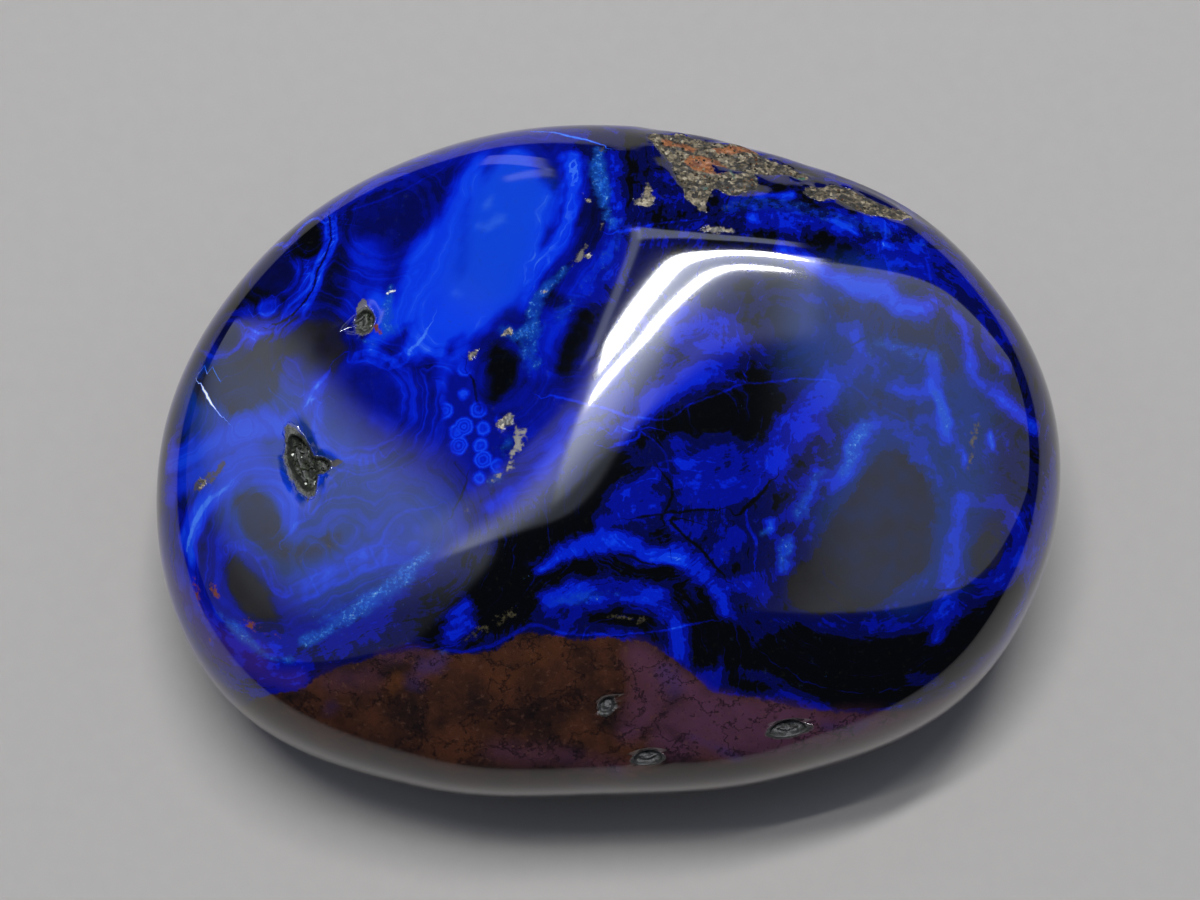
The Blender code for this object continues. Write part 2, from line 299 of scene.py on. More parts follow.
        (24, 4.4, 0.25), (24.9, 2.6, 0.4), (25.2, 1, 0.45), (25, 0.1, 0.3), (26.3, -0.7, 0.25),
        (26.7, -1.8, 0.2),
    ]),
    "cyan drop": (0.92, 0.4, [(28.4, 0.7, 0.2), (28.7, -0.3, 0.3)]),
    "dome isles": (0.44, 0.6, [(15.2, 10.5, 0.3), (16.6, 9.6, 0.35), (17.4, 8, 0.4)]),
    "dark isle": (0.06, 0.8, [(22, 7.9, 0.7), (23.4, 7.6, 0.8)]),
    "dark isle, right": (0.10, 0.7, [(25.6, 6.4, 0.5), (26, 4.6, 0.4)]),
    "dark isle, far right": (0.10, 0.6, [(28.7, 5.4, 0.45)]),
    "dark under the wave": (0.07, 1.2, [(13, 10.8, 1.1), (13.4, 8.2, 1.4), (13.8, 6.2, 0.8)]),
    "dark under the wave, right": (0.12, 1.0, [(18, 9.5, 0.6), (20.2, 9.2, 0.7)]),
    # the back rim, past the veil
    "back royal": (0.40, 1.4, [
        (10.8, 16.8, 0.9), (14, 16.6, 1.6), (18, 16, 1.5), (22, 15.4, 1.3), (25.4, 13.9, 1.0),
        (28, 11.2, 0.8), (30, 8, 0.6),
    ]),
    "back royal light": (0.66, 0.6, [(11.6, 18.6, 0.4), (14, 18.7, 0.4)]),
    "back light wave": (0.78, 0.5, [(16.8, 16.6, 0.3), (17.9, 15.9, 0.35), (19.0, 15.3, 0.3)]),
    "back light drops": (0.84, 0.4, [(11, 16.6, 0.4)]),
    "back light drop": (0.84, 0.4, [(21.2, 14.5, 0.25)]),
    "back light drop, right": (0.74, 0.5, [(23.1, 14.6, 0.35)]),
    "back dark drop": (0.12, 0.6, [(15.8, 15.2, 0.4), (17.4, 15, 0.5)]),
    "back dark point": (0.10, 0.6, [(13.6, 21.6, 0.3), (15.4, 21, 0.5), (16.2, 20, 0.4)]),
    "right rim": (0.13, 1.2, [
        (24, 17.4, 0.7), (27, 14.4, 0.8), (29.8, 10.6, 0.8), (32.2, 6, 0.8), (33.6, 2, 0.7),
        (34.3, -2, 0.6), (34, -6, 0.8), (32.4, -10, 0.9),
    ]),
    # the black lower right
    "lower black": (0.02, 1.2, [
        (9.2, -14.6, 1.4), (11, -17.4, 1.6), (14, -15.6, 2.6), (18, -17.2, 3.0), (22, -17.0, 3.0),
        (26, -15.6, 2.8), (29, -13.2, 2.2), (30.8, -11, 1.2),
    ]),
    "lower blue": (0.20, 0.8, [(10.2, -17.0, 0.4), (12.6, -17.6, 0.5)]),
    "lower blue, right": (0.20, 0.8, [(22.6, -17.2, 0.5), (24.6, -17.6, 0.4)]),
    "column foot": (0.48, 0.8, [(25, -12.6, 0.6), (24.6, -14.4, 0.6)]),
    "rim blue": (0.55, 0.6, [(30.8, -8.8, 0.5), (31.8, -8.2, 0.4)]),
}

# A thread is (brightness or darkness, chain), its half width drawn in the material.
LIGHT_THREADS = {
    "heart lobe, cyan edge": (1.0, [
        (-26.2, 15.9, 0.16), (-25.2, 16.3, 0.2), (-24.3, 15.9, 0.22), (-23.6, 16.8, 0.24),
        (-22.8, 17.8, 0.2), (-22, 18, 0.12), (-21.3, 17.4, 0.1),
    ]),
    "heart lobe, inner line": (0.6, [
        (-21.2, 17.2, 0.1), (-21.1, 16.2, 0.12), (-21.6, 14.8, 0.12), (-22.1, 13.6, 0.12),
        (-22.2, 12.5, 0.14), (-23, 11.6, 0.12), (-24.1, 10.8, 0.1), (-24.5, 9.9, 0.08),
    ]),
    "heart lobe, outer line": (0.6, [
        (-20.4, 17.8, 0.08), (-20.3, 16, 0.1), (-20.7, 14.8, 0.14), (-21.4, 13.8, 0.14),
        (-21.5, 12.6, 0.16), (-22.2, 11.1, 0.16), (-23.2, 9.7, 0.14), (-24.6, 8.9, 0.14),
        (-26.2, 8.9, 0.12), (-27, 9.4, 0.1),
    ]),
    "heart lobe, last line": (0.35, [(-22.4, 10, 0.1), (-23.6, 8.9, 0.14), (-25.4, 8.2, 0.12)]),
    "second lobe, line": (0.3, [
        (-23.9, 14.6, 0.14), (-23.2, 13.7, 0.16), (-23.4, 12.6, 0.14), (-24.4, 12, 0.1),
    ]),
    "small ring, line": (0.5, [(-25.9, 10.4, 0.12), (-25.3, 10.3, 0.16), (-24.9, 10.8, 0.1)]),
    "grey lobe, line": (0.6, [
        (-30.8, 8, 0.14), (-29.8, 7.3, 0.18), (-28.6, 7.3, 0.16), (-27.8, 7.9, 0.14),
        (-27.2, 8.8, 0.12),
    ]),
    "back left line": (0.35, [
        (-19.3, 18.3, 0.05), (-17, 18.9, 0.08), (-14.8, 19.8, 0.06), (-12, 21.3, 0.04),
    ]),
    "back line": (1.3, [
        (-5.6, 24.3, 0.05), (-3.9, 24.1, 0.1), (-2.6, 23.6, 0.16), (-1.4, 23.3, 0.12),
        (-0.2, 22.8, 0.08),
    ]),
    "swirl below the field": (0.5, [
        (-18.9, 7.0, 0.1), (-17.6, 7.2, 0.16), (-16.2, 6.5, 0.16), (-14.8, 6.9, 0.14),
        (-13.7, 7.8, 0.1), (-13.2, 8.8, 0.06),
    ]),
    "swirl below the field, second": (0.35, [
        (-19, 6.4, 0.1), (-17.6, 6.4, 0.12), (-16.2, 5.7, 0.14), (-14.8, 6.1, 0.1),
    ]),
    "triangle lobe, tip": (0.6, [
        (-22.3, 3.4, 0.1), (-21.9, 4.4, 0.14), (-21, 5.3, 0.16), (-20.7, 5.8, 0.06),
    ]),
    "big lobe, line": (0.32, [
        (-21.8, 2.9, 0.1), (-21.8, 1, 0.12), (-20.9, -0.4, 0.1), (-19.4, -1.1, 0.1),
        (-18.1, -0.7, 0.08), (-17, -0.2, 0.1), (-15.8, 0.3, 0.08),
    ]),
    "big lobe, second line": (0.3, [
        (-21.3, 1.2, 0.07), (-20.5, 0.1, 0.07), (-19.2, -0.4, 0.07), (-18, -0.2, 0.07),
    ]),
    "under the vug": (0.5, [
        (-23.6, -6.6, 0.14), (-23, -5.8, 0.16), (-21.8, -5.2, 0.14), (-21.1, -4, 0.14),
        (-20.8, -2.8, 0.12), (-19.9, -1.9, 0.12), (-18.6, -1.5, 0.1), (-17.2, -1.2, 0.08),
    ]),
    "under the vug, inner": (0.3, [
        (-20.6, -4.4, 0.08), (-20.1, -3.1, 0.08), (-19.2, -2.4, 0.08), (-17.4, -1.9, 0.08),
        (-15.8, -1.9, 0.07),
    ]),
    "crescent, line": (0.45, [
        (-28.4, -2.9, 0.1), (-29.9, -3.7, 0.2), (-30.9, -5.2, 0.2), (-31.5, -7, 0.12),
    ]),
    "corner lobe, line": (0.42, [
        (-28.2, -8.6, 0.08), (-27.8, -7.7, 0.1), (-26.9, -7.5, 0.12), (-26, -8.3, 0.1),
        (-25.4, -9.6, 0.1), (-24.8, -10.8, 0.1), (-23.9, -11.3, 0.1), (-22.8, -10.9, 0.1),
    ]),
    "corner lobe, second line": (0.35, [
        (-28.2, -7.2, 0.06), (-27, -6.8, 0.08), (-25.8, -7.5, 0.08), (-24.9, -8.9, 0.08),
        (-24.5, -10.1, 0.08), (-23.8, -10.6, 0.08), (-22.8, -10.2, 0.1),
    ]),
    "river, first line": (0.45, [
        (-23, -10.2, 0.08), (-21.2, -9.6, 0.1), (-19.6, -8.7, 0.1), (-18.2, -8, 0.1),
        (-16.6, -7.5, 0.12), (-16.2, -6.5, 0.14), (-15.7, -5.7, 0.14), (-14.6, -5.1, 0.12),
        (-13, -4.9, 0.06),
    ]),
    "river, second line": (0.4, [
        (-22.8, -10.9, 0.08), (-21, -10.3, 0.1), (-19.2, -9.3, 0.1), (-17.4, -8.5, 0.1),
        (-16, -8.2, 0.1),
    ]),
    "river, third line": (0.4, [
        (-22.6, -11.6, 0.1), (-20.6, -10.9, 0.1), (-18.8, -9.9, 0.12), (-17, -9.2, 0.1),
        (-15.2, -8.9, 0.08),
    ]),
    "crack over the crest": (0.75, [
        (-3.9, 3.2, 0.06), (-2.3, 2.8, 0.09), (-1.2, 2.5, 0.09), (0.4, 2.1, 0.1), (1.2, 1.7, 0.1),
        (2.4, 1.5, 0.08), (4, 1.3, 0.06), (5, 1.4, 0.06), (6, 2.3, 0.06), (7.2, 2.8, 0.06),
        (8.6, 3.3, 0.07), (9.8, 3.85, 0.08), (12, 4.1, 0.06), (14, 4.4, 0.07), (16.6, 4.3, 0.05),
    ]),
    "crack over the dome": (0.35, [
        (16.6, 4.3, 0.05), (18.6, 3.7, 0.08), (19.8, 2.6, 0.08), (21.4, 1.9, 0.06), (23, 1, 0.05),
        (25, -0.5, 0.05),
    ]),
    "hair by the spot": (0.7, [(10.3, 4.8, 0.04), (10.2, 4.4, 0.05), (10.6, 4.0, 0.04)]),
    "hair by the bay": (0.5, [(11.6, -2.6, 0.04), (11.3, -3.3, 0.05)]),
    "ridge light": (0.8, [(0.9, -0.5, 0.16), (1.8, -0.4, 0.14)]),
    "ridge light, upper": (0.7, [(2.3, 0.8, 0.08), (2.7, 0.4, 0.1)]),
    "second crack": (0.35, [(3.9, -0.4, 0.05), (4.5, -1.2, 0.08), (4.7, -2.2, 0.08)]),
    "back cyan line": (0.75, [
        (1, 15.5, 0.1), (2.2, 15.6, 0.14), (3.2, 15.9, 0.1), (4.6, 16.1, 0.08), (6.2, 16.3, 0.06),
    ]),
    "pink line": (0.8, [
        (1.4, -14.2, 0.05), (3, -14.15, 0.06), (4.6, -13.95, 0.07), (6, -13.6, 0.08),
        (7.8, -13.3, 0.05),
    ]),
    "bay line": (0.6, [
        (10.4, -5.8, 0.1), (10.6, -6.6, 0.12), (11.2, -7.5, 0.1), (11.1, -8.6, 0.12),
    ]),
    "lower chip": (0.7, [(25.2, -10.9, 0.04), (25.9, -10.2, 0.07)]),
    "host edge": (0.5, [
        (-12.4, -15.2, 0.12), (-10.4, -15.5, 0.12), (-8.2, -15.0, 0.14), (-6.9, -14.3, 0.14),
        (-5.6, -13.6, 0.14), (-4.6, -13.6, 0.12), (-3.5, -14.1, 0.1), (-1.6, -14.3, 0.08),
        (0.2, -14.2, 0.06),
    ]),
    "pale band on the wave": (0.4, [(24, 13.4, 0.1), (24.2, 12, 0.1), (24.5, 10.6, 0.06)]),
    "back thread": (0.5, [(20.9, 16.4, 0.06), (21, 15.6, 0.08), (20.7, 14.8, 0.08)]),
    "white scratch": (2.4, [
        (-30.7, 5.3, 0.03), (-30.4, 4.7, 0.1), (-30.0, 4.0, 0.12), (-29.7, 3.5, 0.05),
        (-29.4, 3.1, 0.03), (-29.1, 2.7, 0.02),
    ]),
    "triangle lobe, outline": (0.3, [
        (-24.6, 2.9, 0.1), (-25.3, 4.4, 0.1), (-25.2, 6.0, 0.1), (-24.4, 7.2, 0.1),
        (-23.2, 6.4, 0.08), (-22.6, 5.0, 0.06),
    ]),
}

DARK_THREADS = {
    "main crack": (0.9, [
        (4.5, -2.8, 0.07), (4.9, -3.4, 0.1), (5.05, -4.1, 0.1), (4.7, -4.9, 0.1),
        (4.5, -5.5, 0.12), (5, -6.3, 0.1), (5.9, -7.2, 0.1), (7, -8, 0.1), (7.9, -9.1, 0.1),
        (8.6, -9.9, 0.08),
    ]),
    "side crack": (0.8, [
        (4.5, -5.4, 0.06), (5.4, -5.5, 0.09), (6.8, -5.25, 0.09), (8.4, -5.3, 0.05),
    ]),
    "left crack": (0.8, [(4.4, -5.6, 0.06), (3.2, -5.7, 0.08), (2.3, -5.9, 0.06)]),
    "olive crack": (1.0, [
        (10.0, -5.5, 0.1), (10.6, -4.9, 0.16), (11.4, -4.2, 0.14), (12.1, -3.4, 0.08),
    ]),
    "folded crack": (0.8, [
        (1.2, -8.6, 0.05), (2.0, -8.6, 0.08), (2.6, -9.1, 0.08), (3.6, -9.2, 0.06),
    ]),
    "bubble boundary": (0.9, [
        (-10, 5, 0.05), (-9.6, 4.2, 0.1), (-9.6, 3.3, 0.1), (-9.2, 2.5, 0.08),
    ]),
    "bubble boundary, foot": (0.7, [(-10.2, -3, 0.06), (-10.6, -4.2, 0.07), (-11.2, -5.2, 0.07)]),
    "dome crack": (0.7, [
        (17.3, 6.5, 0.05), (18.5, 7, 0.06), (20, 7.9, 0.06), (20.9, 6.4, 0.08), (21.4, 5.1, 0.08),
        (22.5, 4.6, 0.08), (23.3, 5.3, 0.08), (24, 6.8, 0.06), (24.6, 9, 0.05),
    ]),
    "dome crack, foot": (0.6, [(26.3, -2.3, 0.08), (27.1, -3.2, 0.08)]),
    "outer bands, shade": (0.8, [
        (-20.9, 17.8, 0.06), (-20.75, 16, 0.07), (-21.2, 14.6, 0.08), (-21.8, 13.5, 0.08),
        (-21.9, 12.5, 0.08), (-22.7, 11.2, 0.08), (-23.8, 10, 0.08), (-25, 9.5, 0.08),
    ]),
    "lower chip, shade": (0.7, [(24.6, -11.1, 0.06), (25.6, -11, 0.06), (27, -10.7, 0.05)]),
}

# Soft patches of another stuff: (strength, softness, chain)
DUST = {  # cyan to white grains of crushed azurite
    "main vein": (1.0, 0.7, [
        (-0.4, 22.4, 0.2), (-0.4, 20.6, 0.5), (-0.1, 18.8, 0.5), (0.1, 17, 0.4), (0.5, 16.2, 0.4),
    ]),
    "main vein, low": (0.95, 0.6, [
        (-2.8, 12.8, 0.25), (-4.1, 11.7, 0.35), (-5, 10.7, 0.35), (-5.4, 9.4, 0.4),
        (-5.2, 8.4, 0.4), (-6.4, 7.8, 0.3), (-7.6, 8.2, 0.25),
    ]),
    "main vein, foot": (0.6, 0.6, [(-5.3, 7.4, 0.3), (-5.2, 6, 0.25), (-4.6, 4.6, 0.2)]),
    "vein side": (0.35, 1.4, [
        (1.0, 15.6, 0.8), (0.2, 13.6, 0.8), (-1.6, 11, 0.6), (-3.4, 8.8, 0.5),
    ]),
    "rust vug": (0.75, 0.8, [
        (-16.1, 11.9, 0.3), (-16.3, 10.4, 0.4), (-16.4, 8.7, 0.4), (-14.8, 8.8, 0.2),
    ]),
    "rust vug, rim": (0.5, 0.6, [(-18.6, 8.2, 0.2), (-17.4, 7.7, 0.25), (-16.6, 8.0, 0.2)]),
    "long streak": (1.0, 0.7, [
        (-22.4, -14.6, 0.3), (-20.4, -13.9, 0.45), (-18.6, -12.5, 0.45), (-16.8, -11.2, 0.4),
        (-15.2, -10.2, 0.35), (-13.9, -8.9, 0.3), (-12.6, -7.6, 0.25),
    ]),
    "long streak, haze": (0.35, 1.6, [(-21, -13, 0.8), (-17.5, -11.8, 0.8), (-14.4, -9.6, 0.6)]),
    "corner streak": (0.85, 0.7, [
        (-29, -12.3, 0.3), (-27.6, -13.6, 0.4), (-26.4, -14.6, 0.4), (-25.1, -15.8, 0.35),
        (-23.4, -15.9, 0.3),
    ]),
    "bubble edge": (0.7, 0.5, [
        (-7.1, 0, 0.25), (-7.6, -1, 0.2), (-8, -2.8, 0.25), (-8.6, -3.5, 0.15),
    ]),
    "black spot edge": (0.5, 0.7, [(-6, 7.2, 0.3), (-5.6, 5.4, 0.3)]),
    "cyan arc": (0.9, 0.6, [
        (17.3, -2.8, 0.3), (18.1, -1.8, 0.35), (18.3, -0.4, 0.4), (19, 0.6, 0.4),
        (19.9, 0.8, 0.2),
    ]),
    "dome shore": (0.6, 0.8, [(14.3, -5.4, 0.5), (15.4, -3.4, 0.5), (16, -2.4, 0.3)]),
    "cyan corner": (0.8, 0.5, [(12.4, -5.9, 0.15), (12.1, -6.9, 0.3), (11.4, -7, 0.15)]),
    "grainy blue": (0.65, 0.9, [(13.4, -7.8, 0.6), (13, -9.4, 0.4)]),
    "cyan thread": (0.7, 0.5, [
        (24.4, 3.6, 0.2), (24.9, 2.4, 0.3), (25.2, 1.1, 0.35), (25.1, 0.1, 0.2),
    ]),
    "cyan drop": (0.6, 0.4, [(28.5, 0.5, 0.1), (28.7, -0.3, 0.2)]),
    "dome net": (0.5, 0.9, [(22.6, 6.4, 0.5), (24.8, 6.2, 0.3), (20.2, 7.0, 0.3), (19.4, 6, 0.3)]),
    "back wave": (0.45, 0.8, [(16.8, 16.6, 0.2), (18.9, 15.3, 0.2)]),
    "back haze": (0.35, 1.5, [
        (9, 17.4, 0.6), (12, 18, 0.8), (15, 17.4, 0.8), (20, 15.6, 0.6), (24, 14.6, 0.5),
    ]),
    "second arc grains": (0.45, 0.8, [(-3.8, -12, 0.4), (-0.6, -11.4, 0.4), (1.2, -11.4, 0.3)]),
    "column foot": (0.3, 0.8, [(25.2, -12, 0.4), (24.7, -14, 0.4)]),
    "host edge dot": (0.9, 0.35, [(-11.9, -15.4, 0.3)]),
}

BUBBLES = {  # a mass of small round growths, each with its own rings
    "bubble field": (1.0, 0.5, [
        (-10.9, 4.6, 0.9), (-10.6, 2, 1.5), (-9.6, 0.2, 1.9), (-8.7, -1.6, 1.2), (-9.4, -3, 0.9),
    ]),
    "spotted lobe": (0.55, 0.8, [(-14.6, -6.9, 0.9)]),
}

OLIVE = {  # olive brown clay in the seams
    "vein core": (1.0, 0.5, [
        (0.1, 17.6, 0.2), (-0.3, 16, 0.28), (-1.1, 14.6, 0.28), (-2, 13.4, 0.28),
        (-2.9, 13, 0.15),
    ]),
    "vein core, top": (0.8, 0.5, [(-0.2, 22.8, 0.15), (0, 22, 0.2)]),
    "bubble side": (0.85, 0.6, [
        (-6.2, 0.7, 0.3), (-6.5, -0.8, 0.4), (-7.1, -2.3, 0.25), (-8.4, -3.4, 0.2),
        (-9.2, -4.5, 0.2),
    ]),
    "bubble side, foot": (0.7, 0.6, [(-9.7, -5.1, 0.2), (-10.8, -6.3, 0.22), (-12, -7.3, 0.2)]),
    "veil spot": (0.7, 0.8, [(-3.3, 2.6, 0.3)]),
    "corner grains": (0.62, 0.8, [(-10.4, -14.6, 0.2), (-8.6, -13.7, 0.35), (-6.8, -12.6, 0.3)]),
    "left seam": (0.95, 0.6, [(-30.8, -2.7, 0.3), (-29.8, -2.0, 0.4), (-28.6, -1.0, 0.2)]),
    "valley": (0.45, 1.2, [(-22.8, -8.6, 0.4), (-20.2, -7.4, 0.4), (-18.8, -5.6, 0.3)]),
    "arc shade": (0.6, 0.6, [(0.4, -13, 0.2), (3, -13.3, 0.3)]),
    "dome seam": (0.7, 0.6, [(27.5, 1, 0.25), (27.2, -0.4, 0.25), (26.8, -2.5, 0.15)]),
    "dome seam, top": (0.5, 0.5, [(24, 7, 0.15), (24.6, 9, 0.15)]),
    "dome grains": (0.8, 0.4, [(14.5, -3.2, 0.2), (14.4, -4, 0.2)]),
    "dark lobe haze": (0.35, 1.2, [(-20.6, 13, 0.5), (-20.6, 11, 0.6)]),
    "matrix shore": (0.5, 0.9, [(6.4, 17.2, 0.3), (8.6, 17.2, 0.4), (10.4, 18, 0.3)]),
    "bay edge": (0.6, 0.5, [(9.6, -5.6, 0.15), (10.4, -5.3, 0.15)]),
    "vug, top": (0.8, 0.4, [(-23.9, 1.2, 0.2), (-23.6, 0.6, 0.4)]),
    "vug, middle": (0.8, 0.4, [(-20.5, -1.4, 0.25), (-19.6, -1.2, 0.1)]),
    "vug, foot": (0.8, 0.4, [(-22.1, -3.2, 0.35), (-22.2, -4.2, 0.1)]),
    "vug, side": (0.6, 0.5, [(-25.0, -0.7, 0.1), (-24.0, -1.2, 0.15)]),
    "rust vug": (1.0, 0.4, [(-18.2, 10.9, 0.3), (-18.0, 9.8, 0.7), (-17.8, 8.9, 0.5)]),
}

TAN = {  # grey tan flecks of the matrix, away from its patches
    "flecks by the vein": (1.0, 0.3, [(-1.6, 18.5, 0.12), (-1.4, 18, 0.22), (-0.9, 18.2, 0.1)]),
    "white by the vein": (1.2, 0.3, [(-1.1, 13.7, 0.18), (-0.7, 14.3, 0.12)]),
    "middle white": (1.0, 0.3, [(-7.7, 8.2, 0.16), (-6.8, 8.0, 0.14)]),
    "vein white": (1.0, 0.3, [(-4.5, 11.3, 0.14), (-5.1, 10.2, 0.12)]),
    "crystal": (1.1, 0.35, [(-7.5, 1.4, 0.35), (-7.0, 1.7, 0.3)]),
    "bubble top": (0.9, 0.35, [(-9.3, 7.4, 0.2), (-9.8, 6.4, 0.3), (-10.3, 6, 0.15)]),
    "patch on the dark": (0.85, 0.5, [
        (2.4, 17.8, 0.3), (3.2, 17.9, 0.45), (3.3, 19.2, 0.2), (2.8, 19.6, 0.1),
    ]),
    "oval": (0.7, 0.5, [(7.2, 15.6, 0.25), (8.6, 15.5, 0.42), (9.6, 15.5, 0.2)]),
    "rust vug": (0.6, 0.3, [(-17.5, 12.0, 0.12), (-17.3, 11.2, 0.08)]),
    "left spot": (1.1, 0.4, [(-30.5, -2.4, 0.28), (-30.2, -2.7, 0.2)]),
    "spots in the spotted lobe": (0.6, 0.3, [(-14.5, -8.3, 0.25)]),
}

WHITE = {  # white crystals, and one streak of pale malachite
    "vug crystal": (0.9, 0.3, [(-23.1, -0.4, 0.03)]),
    "vug crystal, lower": (1.0, 0.3, [(-22.4, -1.0, 0.06), (-22.3, -1.3, 0.08)]),
    "rust vug": (1.0, 0.3, [(-16.2, 11.5, 0.14), (-15.9, 12.0, 0.16)]),
    "rust vug, dot": (1.0, 0.2, [(-16.3, 8.75, 0.14)]),
    "rust vug, dot left": (0.9, 0.2, [(-16.9, 8.3, 0.07)]),
    "rust vug, dot right": (0.9, 0.2, [(-15.2, 8.7, 0.14)]),
    "rust vug, foot": (0.8, 0.2, [(-18.2, 7.9, 0.1)]),
    "crystal tip": (1.0, 0.25, [(-7.2, 2.1, 0.16)]),
    "left dot": (1.0, 0.15, [(-27.4, 9.4, 0.08)]),
    "edge dot": (1.0, 0.15, [(32.6, -6.4, 0.1)]),
    "dome fleck": (1.0, 0.15, [(25.3, 2.7, 0.05), (25.6, 2.4, 0.07)]),
    "dome dot": (0.9, 0.2, [(20.1, 7.2, 0.08)]),
}

RUST = {
    "rust vug": (0.9, 0.4, [(-17.2, 9.2, 0.2), (-16.9, 8.4, 0.2)]),
    "in the lobe seam": (0.8, 0.5, [(-29.6, -10.2, 0.3), (-29, -11.2, 0.35)]),
    "left corner": (0.8, 0.5, [(-29.8, -14.2, 0.3)]),
    "left corner, small": (0.6, 0.4, [(-27.7, -13.1, 0.15)]),
    "corner tail": (0.7, 0.4, [(-24.1, -15.4, 0.15), (-23.9, -16, 0.1)]),
    "red haze": (0.6, 1.0, [(-26.6, -13.2, 0.5), (-24.4, -14.2, 0.5)]),
    "red haze, left": (0.5, 1.2, [(-31, -10, 0.5), (-30, -12.6, 0.6)]),
}

PAINTED_HAND_REFLECTION = {  # painted pink reflection of a hand, through the host rock and the bottom left corner
    "left corner": (0.60, 2.0, [
        (-33.5, -8, 0.8), (-32, -11, 1.2), (-29.5, -14.5, 1.8), (-26, -15.8, 1.4),
    ]),
    "purple tail": (0.45, 1.2, [(-26, -16.8, 0.8), (-23, -17.4, 0.8)]),
    "middle": (0.8, 1.6, [
        (2.6, -15.6, 0.8), (3.8, -17.4, 1.4), (3.2, -19.4, 1.4), (1.8, -21.2, 0.8),
    ]),
    "right band": (1.0, 1.4, [
        (5.6, -17.6, 0.6), (7.6, -19.3, 0.9), (12, -19.8, 1.0), (17, -20.6, 1.0),
        (22, -20.3, 0.9), (26, -18.6, 0.8), (29, -15.6, 0.8),
    ]),
    "right skirt": (0.5, 2.0, [(7.6, -22.3, 0.8), (13, -22.7, 0.8), (19, -22, 0.8)]),
    "upper edge": (0.6, 1.0, [(-16.5, -15.9, 0.3), (-13.8, -15.3, 0.3), (-12.2, -15.8, 0.3)]),
    "left field": (0.35, 2.0, [(-20.6, -17.4, 0.8), (-17.6, -17.2, 0.8)]),
    "front skirt": (0.5, 2.0, [(-8, -22.6, 0.8), (-3, -23, 0.8), (1.4, -23.8, 0.6)]),
    "front right": (0.9, 2.5, [(6, -21, 2.5), (12, -21.5, 2.2), (20, -21, 1.8), (27, -19, 1.5)]),
}

VIOLET = {  # azurite dust through the host rock
    "middle": (0.7, 1.2, [(4.6, -16.8, 0.5), (5.2, -18.2, 0.5)]),
    "right": (0.8, 1.0, [(16.6, -20.8, 0.5), (18.6, -21.1, 0.5), (19.9, -20.4, 0.2)]),
    "right skirt": (0.8, 0.8, [(6.6, -21.6, 0.2), (8.4, -22.3, 0.4), (10, -23.1, 0.3)]),
    "front": (0.7, 0.8, [(-2.6, -25.0, 0.3), (-0.2, -25.2, 0.3)]),
    "front right": (0.5, 0.8, [(0.8, -23.9, 0.3), (1.3, -24.6, 0.2)]),
    "left": (0.6, 0.9, [(-20.4, -19.2, 0.4), (-21, -19.9, 0.2)]),
    "azurite in the corner": (0.9, 0.9, [
        (-13.4, -16.4, 0.5), (-12.4, -16.4, 0.4), (-12, -15.5, 0.3),
    ]),
    "left middle": (0.5, 1.0, [(-14, -17.6, 0.5)]),
}

SHADE_IN_HOST = {  # iron-dark stains
    "stain": (0.7, 1.0, [(-1.4, -16.7, 0.4), (-0.8, -16.2, 0.2)]),
    "stain right": (0.6, 1.0, [(0.9, -17.8, 0.4), (0.6, -19.4, 0.2)]),
    "wide stain": (0.45, 2.0, [(-9, -20.8, 0.6), (-5, -20, 0.8), (-2.4, -19.2, 0.6)]),
    "left stain": (0.55, 2.2, [(-23.6, -20, 1.2), (-20.4, -19.8, 1.2), (-18.6, -21.6, 1.0)]),
    "under the mauve": (0.6, 0.8, [(3, -21.3, 0.2), (4.4, -20.7, 0.2), (5.8, -21.7, 0.3)]),
    "pit stain": (0.9, 0.5, [(2.2, -23.3, 0.2), (3.4, -23, 0.5)]),
    "pit stain, right": (0.8, 0.6, [(12.6, -21, 0.3), (14.2, -20.8, 0.3)]),
    "dot": (0.9, 0.25, [(12.7, -20.2, 0.1)]),
    "dot by the pit": (0.8, 0.25, [(15.2, -20.6, 0.15)]),
    "dot left": (0.8, 0.3, [(1.1, -20.9, 0.15)]),
    "spot": (0.7, 0.3, [(-5.7, -22.1, 0.15)]),
    "small spots": (0.8, 0.25, [(0.1, -20.4, 0.15), (0.3, -19.8, 0.1)]),
}

ORANGE_IN_HOST = {  # iron-rich, warmer
    "orange patch": (0.8, 1.2, [(-16.4, -18.6, 0.6), (-15.4, -17.4, 0.4)]),
    "upper field": (0.55, 2.0, [(-8, -17, 1.2), (-4.8, -15.6, 0.8), (-1.8, -15, 0.6)]),
    "front field": (0.45, 2.0, [(-7.8, -22.9, 0.8), (-3.6, -22.8, 0.8)]),
    "right": (0.4, 1.2, [(5.8, -20, 0.6), (6.4, -18.4, 0.4)]),
}

# Where the azurite ends against the host rock, from the left to the right: (x, y)
HOST_EDGE = [
    (-36, -17.5), (-31, -18.6), (-27.5, -18.9), (-25, -18.3), (-22.4, -18.0), (-21.4, -17),
    (-19, -16.2), (-16, -15.4), (-13, -15.3), (-11, -15.7), (-8, -15.2), (-6.6, -14.3),
    (-5.3, -13.9), (-4, -14.3), (-2, -14.5), (0.4, -14.4), (1.6, -14.8), (3, -14.6), (4, -15.4),
    (5.5, -16.3), (6.6, -17.1), (7.8, -18.3), (10, -18.7), (12.4, -19), (15, -19.6), (19, -19.9),
    (22, -19.6), (24.6, -18.9), (27, -17.8), (29, -16.4), (31, -14.6), (36, -12.6),
]
HOST_EDGE_DIP = 0.12  # how far that edge leans to the front for each unit down

